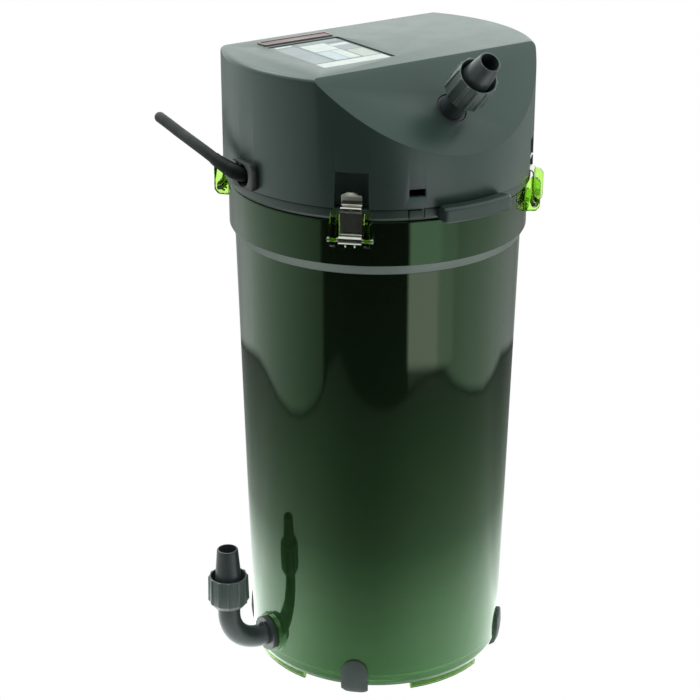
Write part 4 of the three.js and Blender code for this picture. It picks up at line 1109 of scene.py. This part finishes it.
m_deg = calc(mt, "MULTIPLY", m_phi, 180 / math.pi)
near = calc(mt, "MULTIPLY", calc(mt, "MULTIPLY", ramp_node(mt, m_r, 0.0, 0.8, NEAR, 2.0), ramp_node(mt, m_deg, -180, 180, SIDE, 4.0)), 8.0)


def fade(value, r0, r1):
    edge = mt.nodes.new("ShaderNodeMapRange")
    edge.interpolation_type = "SMOOTHSTEP"
    edge.inputs["From Min"].default_value, edge.inputs["From Max"].default_value = r0, r1
    mt.links.new(value, edge.inputs["Value"])
    return edge.outputs[0]


def beyond(value, r0, r1, stops):
    """A ring of the panel picture that fades in between two distances from the object."""
    return calc(mt, "MULTIPLY", calc(mt, "MULTIPLY", ramp_node(mt, m_deg, -180, 180, stops, 2.5), fade(value, r0, r1)), 2.5)


# the ramp holds the shift as a positive number
shift = ramp_node(mt, m_deg, -180, 180, [(x, v + 0.05) for x, v in BORDER], 0.2)
m_rb = calc(mt, "SUBTRACT", calc(mt, "ADD", m_r, 0.05), calc(mt, "MULTIPLY", shift, 0.2))
near = calc(mt, "MULTIPLY", near, calc(mt, "SUBTRACT", 1.0, calc(mt, "MULTIPLY", fade(m_rb, 0.393, 0.412), 0.72)))
far = calc(mt, "MAXIMUM", beyond(m_rb, 0.395, 0.425, FAR), beyond(m_r, 0.452, 0.47, STRIP))
mt.links.new(calc(mt, "MAXIMUM", near, far), m_em.inputs["Strength"])
hue = mt.nodes.new("ShaderNodeMix")
hue.data_type = "RGBA"
hue.inputs["A"].default_value = (0.93, 1.0, 0.965, 1)
hue.inputs["B"].default_value = (1.55, 1.12, 1.42, 1)
mt.links.new(calc(mt, "MULTIPLY", ramp_node(mt, m_deg, -180, 180, WARM, 1.0), calc(mt, "MULTIPLY", fade(m_r, 0.41, 0.46), calc(mt, "SUBTRACT", 1.0, fade(m_r, 0.60, 0.68)))), hue.inputs["Factor"])
mt.links.new(hue.outputs["Result"], m_em.inputs["Color"])
mirror = stage_fan("mirrored_floor", (0, 0, 0), -180, 180, 0.0001, 5.5, 0.0003, mirror_mat, n=72)
only(mirror, glossy=True)

world = bpy.data.worlds.new("studio")
scene.world = world
world.use_nodes = True
wt = world.node_tree
wt.nodes.clear()
w_out = wt.nodes.new("ShaderNodeOutputWorld")
bg_cam = wt.nodes.new("ShaderNodeBackground")
bg_cam.inputs["Color"].default_value = (1, 1, 1, 1)
bg_cam.inputs["Strength"].default_value = 1.0
bg_env = wt.nodes.new("ShaderNodeBackground")
bg_env.inputs["Strength"].default_value = 2.0
lp = wt.nodes.new("ShaderNodeLightPath")
mixw = wt.nodes.new("ShaderNodeMixShader")
wt.links.new(lp.outputs["Is Camera Ray"], mixw.inputs[0])
wt.links.new(bg_env.outputs[0], mixw.inputs[1])
wt.links.new(bg_cam.outputs[0], mixw.inputs[2])
wt.links.new(mixw.outputs[0], w_out.inputs[0])
tcw = wt.nodes.new("ShaderNodeTexCoord")
# how far the direction is from the dark side of the studio, in the level plane
flat = wt.nodes.new("ShaderNodeVectorMath")
flat.operation = "MULTIPLY"
flat.inputs[1].default_value = (1, 1, 0)
wt.links.new(tcw.outputs["Generated"], flat.inputs[0])
nrm = wt.nodes.new("ShaderNodeVectorMath")
nrm.operation = "NORMALIZE"
wt.links.new(flat.outputs[0], nrm.inputs[0])
dark_dir = (TO_CAM * math.cos(math.radians(-12.5)) + CAM_RIGHT * math.sin(math.radians(-12.5))).normalized()
side = ramp_node(wt, along(wt, nrm.outputs[0], dark_dir), -1, 1, [(-1, 0.86), (-0.6, 0.78), (0, 0.52), (0.5, 0.33), (0.77, 0.20), (0.82, 0.012), (1, 0.006)], 1.0)
# the upper part of the sky is a large soft light
sepw = wt.nodes.new("ShaderNodeSeparateXYZ")
wt.links.new(tcw.outputs["Generated"], sepw.inputs[0])
up = wt.nodes.new("ShaderNodeMapRange")
up.interpolation_type = "SMOOTHSTEP"
up.inputs["From Min"].default_value = 0.55
up.inputs["From Max"].default_value = 0.85
wt.links.new(sepw.outputs["Z"], up.inputs["Value"])
mixc = wt.nodes.new("ShaderNodeMix")
mixc.data_type = "RGBA"
mixc.inputs["B"].default_value = (0.78, 0.78, 0.78, 1)
wt.links.new(up.outputs[0], mixc.inputs["Factor"])
wt.links.new(side, mixc.inputs["A"])
tint = wt.nodes.new("ShaderNodeMix")
tint.data_type, tint.blend_type = "RGBA", "MULTIPLY"
tint.inputs["Factor"].default_value = 1.0
tint.inputs["B"].default_value = (0.93, 1.0, 0.97, 1)
wt.links.new(mixc.outputs["Result"], tint.inputs["A"])
wt.links.new(tint.outputs["Result"], bg_env.inputs["Color"])


def area(name, place_, target, size, power, size_y=None, colour=(1, 1, 1)):
    d = bpy.data.lights.new(name, "AREA")
    d.shape = "RECTANGLE"
    d.size, d.size_y = size, size_y or size
    d.energy = power
    d.color = colour
    o = bpy.data.objects.new(name, d)
    scene.collection.objects.link(o)
    o.location = place_
    o.rotation_mode = "QUATERNION"
    o.rotation_quaternion = (Vector(target) - Vector(place_)).to_track_quat("-Z", "Y")
    o.visible_camera = False
    return o


area("key_top", (-0.15, 0.75, 1.35), (0, 0, 0.25), 0.8, 8.0)
